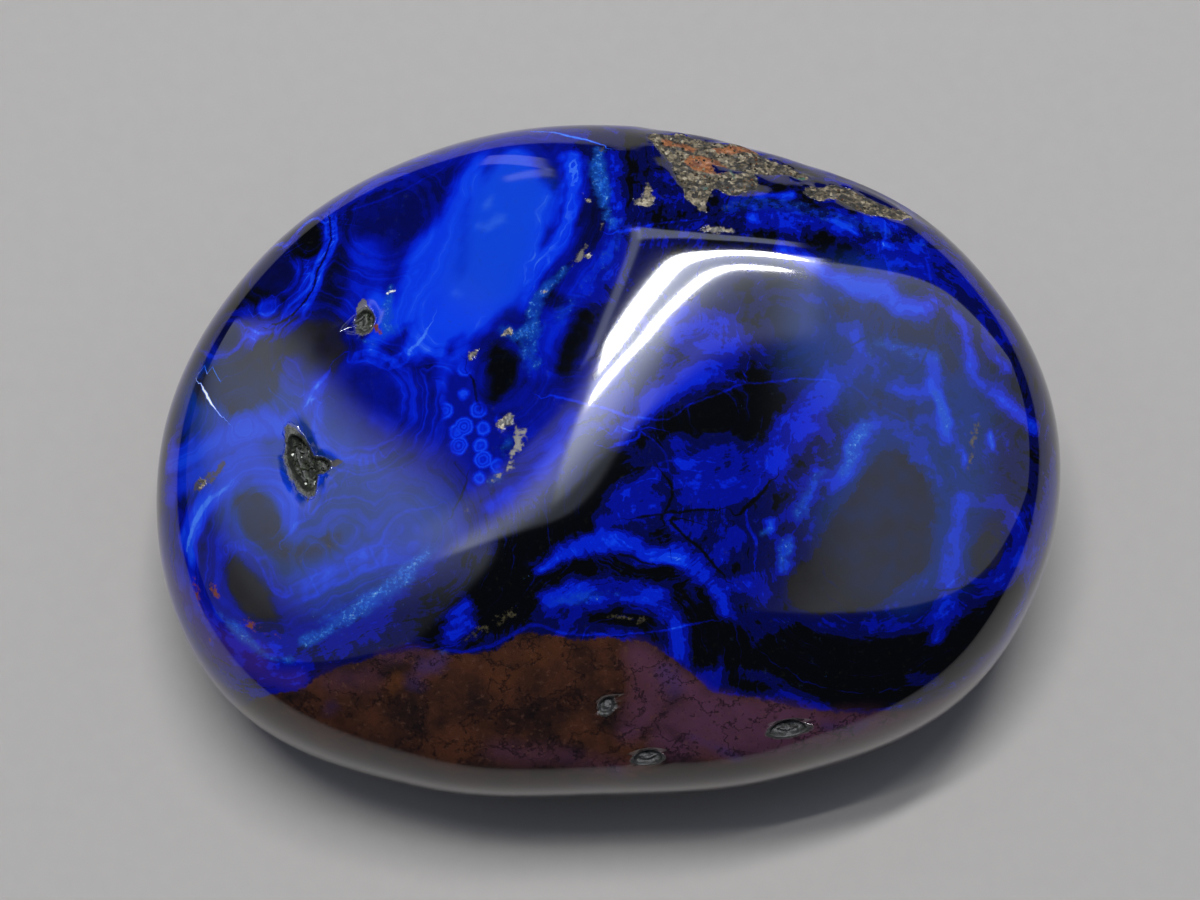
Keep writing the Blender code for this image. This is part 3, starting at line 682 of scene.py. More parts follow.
# The hearts that the azurite grew round: (x, y, radius). Its bands run round them.
LOBES = [
    (-22.4, 16.3, 1.1), (-25.3, 13.7, 2.1), (-25.6, 10.9, 0.6), (-16.4, 17.4, 2.9),
    (-28.7, 8.8, 1.3), (-21.8, 7.4, 2.6), (-18.2, 3.0, 3.3), (-25.8, -5.2, 1.9), (-27, -10, 1.5),
    (-21.6, -8.2, 1.0), (-19.4, -6.6, 0.9), (-14.7, -6.9, 1.0), (-7, 19.4, 2.9),
    (-7.8, 15.6, 3.0), (-9, 12.4, 3.0), (-11.6, 9.6, 2.2), (-7.7, 4.8, 1.5), (1.2, -16.2, 1.6),
    (21.2, -4.6, 3.2), (19.6, -8, 3.8), (28.3, -8.1, 1.6), (22.8, 7.7, 1.2), (13.2, 8.4, 1.6),
    (8, 1.8, 1.8), (-32.6, 3.4, 1.2), (16.2, -0.6, 0.9), (3.4, -5.4, 0.5), (-2.4, 7.2, 0.8),
    (26, 5.4, 0.7), (17, 15.1, 0.7),
]
CURLS = {  # hearts that are drawn out along a line: (x, y, half width)
    "vein": [
        (-2.4, 23, 0.3), (-2.2, 18, 0.3), (-3.2, 15, 0.3), (-5.2, 12.4, 0.3), (-6.5, 9.5, 0.3),
    ],
    "river bank": [
        (-28.1, -7.3, 0.15), (-26.6, -8.0, 0.15), (-25.4, -9.8, 0.15), (-24.1, -11.2, 0.15),
        (-22.3, -10.4, 0.15), (-19.8, -9.2, 0.15), (-17.4, -8.1, 0.15), (-15.5, -6.7, 0.15),
        (-15.2, -5.8, 0.15),
    ],
}
BANDING = {  # how clearly the bands show
    "left": (0.9, 3.0, [(-25, 14, 4), (-26, 6, 4), (-22, -2, 6), (-20, -8, 4)]),
    "below the field": (0.8, 2.0, [(-17, 6, 1.5), (-13.4, 2, 1.6), (-12.6, 6, 1.0)]),
    "vein side": (1.0, 1.0, [(-2.6, 21.4, 0.9), (-2.4, 18, 0.9), (-3.4, 15, 0.9), (-5.4, 12, 0.8)]),
    "field": (0.12, 1.0, [(-7.6, 19, 2.4), (-8.6, 14, 3.0), (-11, 10.4, 2.4)]),
    "arcs": (0.55, 2.0, [(-3, -10, 1.5), (1, -9.6, 2.5), (5, -10.6, 2.5)]),
    "dome": (0.3, 3.0, [(14, 4, 3), (24, 6, 5), (26, -2, 4)]),
    "rims": (0.6, 2.0, [(-30, 2, 3), (-30, -8, 3), (-16, 21, 2)]),
}

MOTTLING = {  # how strongly the blue is mottled
    "left": (0.16, 3.0, [(-24, 0, 14), (-14, 6, 14), (-8, 16, 9)]),
    "dome": (0.62, 3.0, [(12, 4, 4), (20, 2, 10), (18, 12, 8)]),
    "back": (0.9, 2.0, [(4, 18, 4), (20, 16, 3)]),
    "arcs": (0.6, 2.0, [(-4, -10, 4), (6, -10, 4)]),
    "fan": (0.5, 2.0, [(2, -5, 3), (8, -4, 3)]),
}

TINT = {  # where the blue leans to cyan
    "left": (1.0, 4.0, [(-30, 4, 3), (-26, 0, 6), (-20, -6, 6), (-14, -6, 3)]),
    "dome": (0.8, 4.0, [(18, 8, 5), (24, 2, 5), (22, -6, 6)]),
    "field": (0.9, 3.0, [(-7, 19, 3), (-9, 13, 3)]),
}

PAINTED_SHEEN = {  # painted sheen: the grey of reflected light, painted into the dark lobes
    "black lobe": (0.9, 0.8, [
        (21.2, -1.9, 1.2), (21.4, -4.6, 3.2), (20.4, -7.2, 4.1), (18.2, -9.6, 3.4),
        (15.4, -11.2, 2.0),
    ]),
    "second black lobe": (1.0, 0.6, [(28.6, -6.5, 0.9), (28.3, -8.2, 1.3), (27.7, -9.4, 0.6)]),
    "dome top": (0.7, 1.5, [(17, 9.6, 1.2), (20.6, 9.2, 1.2), (23.6, 8, 1.4), (25.6, 5.2, 0.9)]),
    "dome middle": (0.5, 1.5, [(19, 3, 1.0), (22.6, 1.8, 1.0)]),
    "left lobes": (0.9, 1.2, [
        (-30.0, 5.0, 1.5), (-28, 5.2, 2.4), (-26, 5.6, 2.2), (-24.2, 7.6, 1.6),
    ]),
    "lower left lobe": (0.9, 0.8, [
        (-27.4, -4.0, 0.8), (-26.3, -4.5, 1.4), (-25.5, -5.9, 1.4), (-24.7, -7.3, 1.0),
        (-23.4, -8.1, 0.9), (-21.8, -7.9, 0.8), (-20.2, -7.0, 0.7),
    ]),
    "corner lobe": (0.9, 0.8, [
        (-27.7, -8.9, 0.8), (-27.1, -10.2, 1.3), (-26, -11.5, 1.3), (-25, -12.4, 0.8),
    ]),
    "upper lobe": (0.7, 1.2, [(-23.4, 8.8, 1.6), (-21.4, 8.0, 2.0), (-20.2, 6.9, 1.4)]),

    "big round lobe": (0.3, 1.0, [(-19.0, 3.2, 2.2)]),
}

MATRIX = {  # rough matrix that breaks through the polish
    "large patch": (1.0, 0.0, [
        (4.0, 23.6, 0.5), (5.4, 23.0, 1.6), (6.4, 21.4, 1.6), (7.0, 19.8, 1.6), (7.0, 18.4, 1.0),
        (7.2, 17.5, 0.6),
    ]),
    "large patch, right": (1.0, 0.0, [
        (6, 23.6, 1.0), (8, 22.8, 1.8), (11, 21.9, 1.7), (13.2, 21.2, 0.9), (14.8, 20.4, 0.3),
    ]),
    "large patch, foot": (1.0, 0.0, [(9.4, 19.6, 1.4), (10.6, 19.8, 0.9)]),
    "small patch": (1.0, 0.0, [
        (15.9, 18.9, 0.8), (17.6, 19.0, 1.2), (19.8, 18.2, 1.3), (21.8, 17.5, 0.8),
        (23.0, 17.2, 0.3),
    ]),
}
RUST_IN_MATRIX = {
    "upper": (1.0, 0.9, [(4.8, 23.4, 0.4), (6.6, 22.9, 0.5)]),
    "middle": (1.0, 0.9, [(6.6, 21.6, 0.6), (8.6, 21.0, 0.7)]),
    "right": (1.0, 0.8, [(8.8, 22.9, 0.4), (11.4, 22.9, 0.4)]),
    "small patch": (0.6, 0.5, [(17.8, 18.1, 0.2)]),
    "small patch, tail": (0.5, 0.5, [(21.8, 18, 0.2)]),
}
GREEN_IN_MATRIX = {
    "right": (0.8, 0.5, [(13.4, 20, 0.15), (14.9, 20.2, 0.15)]),
    "left": (0.8, 0.5, [(7.6, 19.0, 0.2)]),
    "shore": (1.0, 0.4, [(5.9, 17.8, 0.12), (6.1, 17.3, 0.1)]),
    "top left": (1.0, 0.4, [(3.7, 22.2, 0.12)]),
    "vein side": (0.7, 0.5, [(0.2, 20.2, 0.15), (0.2, 19.2, 0.1)]),
    "middle": (0.8, 0.5, [(9.4, 21.0, 0.15), (9.8, 20.2, 0.2)]),
    "small patch, shore": (0.8, 0.4, [(16.6, 18.9, 0.15)]),
}

# The solid's open pits: (x, y), length, width, bearing of the length in degrees, depth, and
# how thickly crystals line it
PITS = {
    "vug": (-22.56, -1.15, 6.2, 2.2, 110.0, 1.4, 1.0),
    "side of the vug": (-21.56, -1.35, 3.6, 1.5, -8.0, 0.9, 1.0),
    "rust vug": (-17.96, 9.55, 2.2, 1.5, 80.0, 0.7, 0.9),
    "front pit": (13.74, -20.85, 3.6, 1.4, 8.0, 0.8, 0.0),
    "middle pit": (0.14, -19.25, 2.2, 1.2, 65.0, 0.6, 0.0),
    "corner pit": (3.24, -22.95, 3.0, 1.4, 12.0, 0.6, 0.0),
}
PIT_WALL = (0.06, 0.4)  # shares of a pit's depth between which its wall is cut steep
DEEPEST = 1.6  # no pit is deeper
PIT_CHIP = 0.08  # share of a pit's depth over which the top of its wall is chipped
# The solid's sunken patches: (x, y), length, width, bearing
SUNKEN = {
    "large patch": (9.04, 21.85, 11.5, 9.0, -14.0),
    "small patch": (19.04, 18.95, 8.4, 3.2, -20.0),
}
SHORE_REACH = 1.45  # how far past a sunken patch the polish is made fair again
SHORE_FADE = 0.2  # over which the fairing fades out
FAIRING_ROUNDS, FAIRING_PULL = 120, 0.9

RIM_Z = 12.0  # height of the widest outline
WOBBLES = ((2.6, 0.50), (0.9, 0.22))  # spacing and reach of the waver of a wash's edge
STEP = 0.2  # from one tone of the blue to the next, where it changes by steps
THREAD_REACH = 1.0  # how far past a thread its strength is kept
NO_THREAD = 9.0  # a distance past the reach of every thread
BELLY_SEED = 11
BELLY_LOBES = 46
BELLY_TRIES = 4000
BELLY_RADII = (0.9, 3.6)
BELLY_CLEARANCE = 0.85  # share of two lobes' radii that their middles keep apart
BELLY_TONES = (0.05, 0.12, 0.3, 0.5, 0.62, 0.76)
BELLY_TONE, BELLY_STRAY, BELLY_PATCH = 0.34, 0.25, 9
PLAIN_BANDING, PLAIN_MOTTLING = 0.35, 0.4  # where no mark says otherwise
BAND_BLEND = 0.7  # over which the bands of two hearts run together
EDGE_STEPS = np.linspace(-36, 36, 721)  # along the stone, a tenth of a millimetre apart
EDGE_ROUNDING = 7  # steps over which the host rock's edge is rounded
LUMP, SPECK = 0.8, 0.35  # spacing of the lumps and the grains of a rough patch
FAR = 60.0  # past the other end of the stone


# ---------------------------------------------------------------------------------------------
# The skin: the solid's own surface, cut finer, with its markings kept on its points.


def cut_triangles(points, faces):
    """One round of Loop's smooth cutting of a closed mesh of triangles."""
    sides = np.concatenate([faces[:, [0, 1]], faces[:, [1, 2]], faces[:, [2, 0]]])
    across = np.concatenate([faces[:, 2], faces[:, 0], faces[:, 1]])
    edges, which = np.unique(np.sort(sides, axis=1), axis=0, return_inverse=True)
    which = which.reshape(-1)
    far = np.zeros((len(edges), 3))
    np.add.at(far, which, points[across])
    middles = 0.375 * (points[edges[:, 0]] + points[edges[:, 1]]) + 0.125 * far
    count = np.bincount(edges.ravel(), minlength=len(points))
    around = np.zeros_like(points)
    np.add.at(around, edges[:, 0], points[edges[:, 1]])
    np.add.at(around, edges[:, 1], points[edges[:, 0]])
    share = (0.625 - (0.375 + 0.25 * np.cos(2 * np.pi / count)) ** 2) / count
    kept = points * (1 - count * share)[:, None] + around * share[:, None]
    number = len(points) + which.reshape(3, -1)
    a, b, c = faces.T
    ab, bc, ca = number
    cut = [(a, ab, ca), (b, bc, ab), (c, ca, bc), (ab, bc, ca)]
    return np.concatenate([kept, middles]), np.concatenate([np.stack(f, 1) for f in cut])


def welded_solid():
    """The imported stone's points in millimetres and its triangles, with its doubles merged."""
    solid = bmesh.new()
    solid.from_mesh(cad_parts[STONE_NODE].data)
    bmesh.ops.remove_doubles(solid, verts=solid.verts, dist=2e-6)
    bmesh.ops.triangulate(solid, faces=solid.faces)
    points = np.array([v.co for v in solid.verts]) / MM
    faces = np.array([[v.index for v in f.verts] for f in solid.faces])
    solid.free()
    return points, faces


def outward(points, faces):
    """The direction that the surface faces at each point."""
    corners = points[faces]
    turned = np.cross(corners[:, 1] - corners[:, 0], corners[:, 2] - corners[:, 0])
    normals = np.zeros_like(points)
    for corner in range(3):
        np.add.at(normals, faces[:, corner], turned)
    return normals / np.linalg.norm(normals, axis=1)[:, None]


def noise_at(points, spacing, shift=0.0):
    """Smooth noise from about -1 to 1 at points in millimetres."""
    offset = Vector((shift, shift * 0.7, -shift))
    return np.array([noise.noise(Vector(p) / spacing + offset) for p in points.tolist()])


def eased(share):
    """0 to 1 with level ends, for a share from 0 to 1."""
    share = np.clip(share, 0, 1)
    return share * share * (3 - 2 * share)


class Skin:
    """The stone's surface, and the fields of its markings."""

    def __init__(self, points, faces):
        self.points, self.faces = points, faces
        self.normals = outward(points, faces)
        self.tree = BVHTree.FromPolygons(points.tolist(), faces.tolist())
        self.wobble = sum(
            reach * noise_at(points, spacing, shift=3.1 * i)
            for i, (spacing, reach) in enumerate(WOBBLES)
        )

    def lay(self, chain):
        """A chain's points laid on the crown from above, as x, y, z and half width."""
        laid = []
        for x, y, half in chain:
            hit = self.tree.ray_cast(Vector((x, y, FAR)), Vector((0, 0, -1)))[0]
            if hit is None:
                hit = self.tree.find_nearest(Vector((x, y, RIM_Z)))[0]
            laid.append((*hit, half))
        return np.array(laid)

    def reach(self, chain, margin):
        """Which points lie near a laid chain, with their distance from its line, its half width
        there, and the side that they lie on."""
        most = chain[:, 3].max() + margin
        low, high = chain[:, :3].min(0) - most, chain[:, :3].max(0) + most
        near = np.flatnonzero(np.all((self.points > low) & (self.points < high), axis=1))
        at, normals = self.points[near], self.normals[near]
        best = np.full(len(near), 1e9)
        distance, half, side = best.copy(), best * 0, best * 0 + 1
        ends = [(p, p) for p in chain] if len(chain) == 1 else zip(chain[:-1], chain[1:])
        for start, end in ends:
            run = end[:3] - start[:3]
            along = np.clip((at - start[:3]) @ run / max(run @ run, 1e-9), 0, 1)
            offset = at - start[:3] - along[:, None] * run
            gap = np.linalg.norm(offset, axis=1)
            width = start[3] + along * (end[3] - start[3])
            closer = gap - width < best
            best[closer] = (gap - width)[closer]
            distance[closer], half[closer] = gap[closer], width[closer]
            turn = np.einsum("ij,ij->i", np.cross(run, offset), normals)
            side[closer] = np.where(turn < 0, -1.0, 1.0)[closer]
        return near, distance, half, side

    def cover(self, chain, softness, laid=False):
        """How much a mark covers the points near it, from 0 to 1, with a wavering edge."""
        chain = chain if laid else self.lay(chain)
        near, distance, half, _ = self.reach(chain, softness + 1.5)
        edge = distance - half + self.wobble[near] * min(1.0, softness)
        return near, eased(0.5 - edge / max(softness, 0.05))

    def paint(self, field, marks):
        """Lays marks of (value, softness, chain) over a field, one after another."""
        for value, softness, chain in marks.values():
            near, cover = self.cover(chain, softness)
            field[near] += (value - field[near]) * cover
        return field

    def add(self, marks):
        """A field of 0 raised by marks of (strength, softness, chain)."""
        field = np.zeros(len(self.points))
        for value, softness, chain in marks.values():
            near, cover = self.cover(chain, softness)
            field[near] = np.maximum(field[near], value * cover)
        return field

    def threads(self, marks):
        """For each point: how far the nearest thread lies to its left or right, its half width
        and its strength."""
        field = np.zeros((len(self.points), 3))
        field[:, 0] = NO_THREAD
        for strength, chain in marks.values():
            near, distance, half, side = self.reach(self.lay(chain), 2 * THREAD_REACH)
            closer = distance < np.abs(field[near, 0])
            fade = eased(2 - distance / THREAD_REACH)
            value = np.stack([side * distance, half, strength * fade], 1)
            field[near[closer]] = value[closer]
        return field

    def growth(self, hearts):
        """The distance from the nearest of the laid chains, blended where they meet."""
        field = np.full(len(self.points), FAR)
        for chain in hearts:
            near, distance, half, _ = self.reach(chain, FAR)
            gap = np.full(len(self.points), FAR)
            gap[near] = distance - half
            overlap = np.maximum(BAND_BLEND - np.abs(field - gap), 0) / BAND_BLEND
            field = np.minimum(field, gap) - BAND_BLEND * overlap**2 / 4
        return field


def belly_lobes(skin):
    """Hearts for the sides and the belly, spread by chance: x, y, z, radius and tone."""
    chance = random.Random(BELLY_SEED)
    low = np.flatnonzero(skin.points[:, 2] < RIM_Z + 1)
    lobes = []
    for _ in range(BELLY_TRIES):
        place = skin.points[low[chance.randrange(len(low))]]
        radius = chance.uniform(*BELLY_RADII)
        if all(math.dist(place, l[:3]) > BELLY_CLEARANCE * (radius + l[3]) for l in lobes):
            lobes.append((*place, radius, chance.choice(BELLY_TONES)))
        if len(lobes) == BELLY_LOBES:
            break
    return lobes


def oval_reach(skin, x, y, length, width, bearing):
    """How far each point lies from an oval's middle along the crown: 1 is its edge."""
    turn = math.radians(bearing)
    offset = skin.points - skin.lay([(x, y, 0)])[0, :3]
    facing = skin.normals[(offset**2).sum(1) < length**2].mean(0)
    facing /= np.linalg.norm(facing)
    height = offset @ facing
    offset -= np.outer(np.clip(height, -DEEPEST, DEEPEST), facing)
    along = offset[:, 0] * math.cos(turn) + offset[:, 1] * math.sin(turn)
    across = np.sqrt(np.maximum((offset**2).sum(1) - along**2, 0))
    return np.hypot(along / length, across / width) * 2


def cut_pits(skin):
    """Makes the pits' walls steep and ragged. Gives how deep in a pit each point lies, from 0
    to 1, how thickly crystals line it, and how near it lies to a wall's chipped top."""
    count = len(skin.points)
    smooth_depth, steep_depth, pit, lined, chipped = (np.zeros(count) for _ in range(5))
    out = np.zeros((count, 3))
    for *oval, depth, lining in PITS.values():
        reach = oval_reach(skin, *oval)
        fall = 1 - eased(reach)
        rim = skin.normals[(reach > 1.1) & (reach < 1.6)].mean(0)
        ragged = fall + 0.15 * skin.wobble * (fall > 0) - PIT_WALL[0]
        steep = eased(ragged / (PIT_WALL[1] - PIT_WALL[0]))
        chipped = np.maximum(chipped, eased(ragged / PIT_CHIP + 1) * (fall > 0))
        out[depth * fall > smooth_depth] = rim / np.linalg.norm(rim)
        smooth_depth = np.maximum(smooth_depth, depth * fall)
        steep_depth = np.maximum(steep_depth, depth * steep)
        pit, lined = np.maximum(pit, steep), np.maximum(lined, lining * steep)
    skin.points = skin.points + out * (smooth_depth - steep_depth)[:, None]
    return pit, lined, chipped


def fair_shores(skin, patch, pit):
    """Evens out the polished surface round the sunken patches and the pits."""
    z = skin.points[:, 2]
    ovals = [*SUNKEN.values(), *(values[:5] for values in PITS.values())]
    reach = np.min([oval_reach(skin, *oval) for oval in ovals], axis=0)
    clear = eased(1 - patch * 3) * eased(1 - pit * 12)
    free = eased((SHORE_REACH - reach) / SHORE_FADE) * clear * (z > RIM_Z)
    ends = np.concatenate([skin.faces[:, [0, 1]], skin.faces[:, [1, 2]], skin.faces[:, [2, 0]]])
    ends = ends[(free[ends] > 0).any(1)]
    count = np.maximum(np.bincount(ends[:, 0], minlength=len(z)), 1)
    for _ in range(FAIRING_ROUNDS):
        sums = [np.bincount(ends[:, 0], side[ends[:, 1]], len(z)) for side in skin.points.T]
        middle = np.stack(sums, 1) / count[:, None]
        skin.points = skin.points + (free * FAIRING_PULL)[:, None] * (middle - skin.points)


def host_reach(skin):
    """How far a point lies inside the host rock, past the azurite's edge, in millimetres."""
    x, y, z = skin.points.T
    edge_x, edge_y = np.array(HOST_EDGE).T
    drawn = np.pad(np.interp(EDGE_STEPS, edge_x, edge_y), EDGE_ROUNDING // 2, "edge")
    smooth = np.convolve(drawn, np.ones(EDGE_ROUNDING) / EDGE_ROUNDING, "valid")
    top = np.interp(x, EDGE_STEPS, smooth)
    lean = HOST_EDGE_DIP * np.maximum(RIM_Z - z, 0) * 2
    return top - lean + 0.5 * skin.wobble * (z < RIM_Z) - y


def relief(skin, patch, pit):
    """How far the surface is sunk at each point, in millimetres: lumps and grains left in the
    rough patches and the open pits."""
    coarse = noise_at(skin.points, LUMP, shift=5)
    fine = noise_at(skin.points, SPECK, shift=9)
    rough = np.maximum(eased(patch * 1.6 - 0.3), eased(pit * 2))
    return rough * (0.08 + 0.16 * coarse + 0.09 * fine).clip(-0.02, 0.4)


def seeded_lows(skin, shade_tone):
    """Adds the hearts of the sides and the belly to the tone, and returns them."""
    lobes = belly_lobes(skin)
    for x, y, z, radius, tone in lobes:
        chain = np.array([(x, y, z, radius * 0.8)])
        near, cover = skin.cover(chain, 0.5 * radius, laid=True)
        low = eased((RIM_Z + 1.5 - skin.points[near, 2]) / 3)
        shade_tone[near] += (tone - shade_tone[near]) * cover * low
    return [np.array([lobe[:4]]) for lobe in lobes]


def marked_skin():
    """The stone's skin with every field that its material reads."""
    points, faces = welded_solid()
    for _ in range(2):
        points, faces = cut_triangles(points, faces)
    skin = Skin(points, faces)

    tone = BELLY_TONE + BELLY_STRAY * noise_at(points, BELLY_PATCH, shift=2)
    hearts = seeded_lows(skin, tone)
    crown = eased((points[:, 2] - RIM_Z + 4) / 5)
    painted = skin.paint(tone.copy(), WASHES)
    tone += (painted - tone) * crown
    hearts += [skin.lay(chain) for chain in ([lobe] for lobe in LOBES)]
    hearts += [skin.lay(chain) for chain in CURLS.values()]
    growth = skin.growth(hearts)
    banding = skin.paint(np.full(len(points), PLAIN_BANDING), BANDING)

    patch = skin.add({k: (s, 0.9, c) for k, (s, _, c) in MATRIX.items()})
    # The host field's second part marks a painted pink reflection of a hand.
    host, *marks = host_reach(skin), skin.add(PAINTED_HAND_REFLECTION), skin.add(VIOLET)
    pit, lined, chipped = cut_pits(skin)
    fair_shores(skin, patch, pit)
    skin.normals = outward(skin.points, skin.faces)
    skin.points = skin.points - skin.normals * relief(skin, patch, pit)[:, None]
    skin.points[:, 2] = np.maximum(skin.points[:, 2], 0)
    fields = {
        "shade": (tone, growth, banding),
        "light_thread": skin.threads(LIGHT_THREADS).T,
        "dark_thread": skin.threads(DARK_THREADS).T,
        "host": (host, *marks),
        "stain": (skin.add(SHADE_IN_HOST), skin.add(ORANGE_IN_HOST), skin.add(RUST)),
        "grain": (skin.add(DUST), skin.add(BUBBLES), skin.add(OLIVE)),
        "rough": (patch, skin.add(TAN), np.maximum(pit, 0.3 * chipped)),
        "matrix": (
            skin.add(RUST_IN_MATRIX),
            skin.add(GREEN_IN_MATRIX),
            skin.paint(np.full(len(points), PLAIN_MOTTLING), MOTTLING),
        ),
        # The last part of the pale field is a painted grey sheen of reflected light over the dark
        # lobes.
        "pale": (skin.add(WHITE), skin.add(TINT), skin.add(PAINTED_SHEEN)),
    }
    return skin, fields, lined


def mesh_of(name, skin, fields):
    """A mesh of the skin in metres that carries its fields as vectors."""
    mesh = bpy.data.meshes.new(name)
    mesh.from_pydata((skin.points * MM).tolist(), [], skin.faces.tolist())
    for title, parts in fields.items():
        values = np.stack([np.asarray(p, np.float32) for p in parts], 1)
        layer = mesh.attributes.new(title, "FLOAT_VECTOR", "POINT")
        layer.data.foreach_set("vector", values.ravel())
    mesh.shade_smooth()
    return mesh


def place_piece(name, mesh, *materials):
    """Puts a finished mesh in the scene as a piece of the stone."""
    piece = bpy.data.objects.new(name, mesh)
    bpy.context.scene.collection.objects.link(piece)
    mesh.materials.clear()
    for material in materials:
        mesh.materials.append(material)
    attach(piece, "root")
    return piece


# ---------------------------------------------------------------------------------------------
# Materials


# How a node that is used often is set: its kind, its settings, the sockets that its values go
# to, in order, and the output that is taken from it.
Recipe = namedtuple("Recipe", "kind settings sockets out")
PLUS, MINUS, TIMES, TIMES_PLUS, HIGHER, WHOLE, PART, UNSIGNED = (
    Recipe("ShaderNodeMath", {"operation": name}, (0, 1, 2), 0)
    for name in (
        "ADD", "SUBTRACT", "MULTIPLY", "MULTIPLY_ADD", "MAXIMUM", "FLOOR", "FRACT", "ABSOLUTE"
    )
)
SPAN = Recipe("ShaderNodeMapRange", {"interpolation_type": "SMOOTHSTEP"}, (0, 1, 2, 3, 4), 0)
NOISE = Recipe("ShaderNodeTexNoise", {}, ("Vector", "Scale", "Detail", "Roughness"), 0)
MIX = Recipe("ShaderNodeMix", {}, (0, 2, 3), 0)
OVER = Recipe("ShaderNodeMix", {"data_type": "RGBA"}, (0, 6, 7), 2)
ALONG = Recipe("ShaderNodeVectorMath", {"operation": "DOT_PRODUCT"}, (0, 1), 1)
CHANCE = Recipe("FunctionNodeRandomValue", {"data_type": "FLOAT"}, (2, 3, 7, 8), 1)

# What the material draws, by its size on the stone
CLOUD = 2.0 * MM  # cloudy patches of the blue
FLECK = 0.45 * MM  # single crystals
DOT = 0.2 * MM  # powder, coarser than the real one, so that it shows
WIDE_BAND, THIN_BAND = 0.8 * MM, 0.3 * MM
SCALLOP = 1.3 * MM  # scallops of a band
ROUND_GROWTH = 1.5 * MM
THREAD_BREAK = 0.7 * MM
CRUSHED_GRAIN = 0.33 * MM
HOST_PATCH, HOST_SPLIT = 4.5 * MM, 3.2 * MM
GRIT = 0.3 * MM
GRAIN_RELIEF = 0.12 * MM
RUST_SPOT = 1.2 * MM
PAPER_TOOTH = 1.5 * MM
Grain = namedtuple("Grain", "place cloud fleck dots shaggy")

# Ramps: (place, colour), or (place, level) for the rings
BLUES = (
    (0.0, "#010204"), (0.12, "#020413"), (0.27, "#010650"), (0.42, "#010b81"),
    (0.56, "#0116a9"), (0.70, "#0225c1"), (0.84, "#0838ce"), (1.0, "#3668d8"),
)
RINGS = (
    (0.0, 0.5), (0.09, 0.86), (0.17, 0.5), (0.26, 0.82),
    (0.33, 0.58), (0.41, 0.9), (0.48, 0.55), (0.56, 0.34),
)
POWDERS = ((0.36, "#0f44ac"), (0.52, "#1c60c0"), (0.64, "#4582c8"), (0.74, "#94b4c4"))
MATRIX_TANS = (
    (0.0, "#070806"), (0.26, "#241f15"), (0.46, "#4a4131"), (0.66, "#726750"), (0.88, "#9c917a"),
)
GRAIN_TANS = (
    (0.0, "#0a0b08"), (0.3, "#2b281d"), (0.6, "#564d3c"), (0.9, "#837963"), (1.0, "#b8b09a"),
)


def add(tree, kind, links, out=0, stops=None, **settings):
    """Adds a node with its settings, links or sets its inputs, and returns one of its outputs.
    The kind is a node's name, or a recipe whose values come in the order of its sockets."""
    if isinstance(kind, Recipe):
        kind, settings, sockets, out = kind
        links = dict(zip(sockets, links))
    made = tree.nodes.new(kind)
    for name, value in settings.items():
        setattr(made, name, value)
    for socket, source in links.items():
        socket = made.inputs[socket]
        if isinstance(source, bpy.types.NodeSocket):
            tree.links.new(source, socket)
        elif socket.type == "RGBA":
            socket.default_value = (*source, 1)
        else:
            socket.default_value = source
    if stops:
        ramp = made.color_ramp
        while len(ramp.elements) < len(stops):
            ramp.elements.new(0.5)
        for element, (place, shade) in zip(ramp.elements, stops):
            colour = linear(shade) if isinstance(shade, str) else (shade,) * 3
            element.position, element.color = place, (*colour, 1)
    return made.outputs[out]


def bare_material(name, **values):
    """A new material, its tree and its shader with its plain values set."""
    material = bpy.data.materials.new(name)
    material.use_nodes = True
    shader = material.node_tree.nodes["Principled BSDF"]
    for socket, value in values.items():
        shader.inputs[socket.replace("_", " ")].default_value = value
    return material, material.node_tree, shader


def field_parts(tree, name):
    """The three fields that the skin keeps under one name."""
    vector = add(tree, "ShaderNodeAttribute", {}, out=1, attribute_name=name)
    return add(tree, "ShaderNodeSeparateXYZ", {0: vector}).node.outputs


def ragged(tree, field, *noises):
    """A field that strays by noises, each given with how far it takes the field."""
    for source, reach in noises:
        field = add(tree, TIMES_PLUS, (add(tree, MINUS, (source, 0.5)), reach, field))
    return field


def banded_tone(tree, place, tone, growth, banding):
    """Bands of growth, which run round the hearts."""
    scallop = add(tree, NOISE, (place, 1 / SCALLOP, 1.0))
    along = add(tree, TIMES_PLUS, (scallop, 0.9, growth))
    wide, thin = (
        add(
            tree,
            "ShaderNodeTexNoise",
            {"W": along, "Scale": MM / band, "Detail": detail},
            noise_dimensions="1D",
        )
        for band, detail in ((WIDE_BAND, 2.0), (THIN_BAND, 1.0))
    )
    wide = add(tree, SPAN, (wide, 0.42, 0.58, -0.12, 0.12))
    thin = add(tree, SPAN, (thin, 0.56, 0.66, 0.0, 0.16))
    shown = add(tree, TIMES, (banding, add(tree, SPAN, (growth, -0.5, 0.3))))
    return add(tree, TIMES_PLUS, (add(tree, PLUS, (wide, thin)), shown, tone))


def mottled_tone(tree, grain, tone, mottling):
    """Mottling, strongest in the middle tones."""
    calm_lights = add(tree, SPAN, (tone, 0.5, 0.85, 1.0, 0.16))
    calm_darks = add(tree, SPAN, (tone, 0.02, 0.22, 0.12, 1.0))
    quiet = add(tree, TIMES, (calm_lights, calm_darks))
    blotches = add(tree, SPAN, (grain.cloud, 0.36, 0.64))
    strays = ragged(tree, 0.0, (blotches, 0.42), (grain.fleck, 0.5))
    return add(tree, TIMES_PLUS, (strays, add(tree, TIMES, (quiet, mottling)), tone))


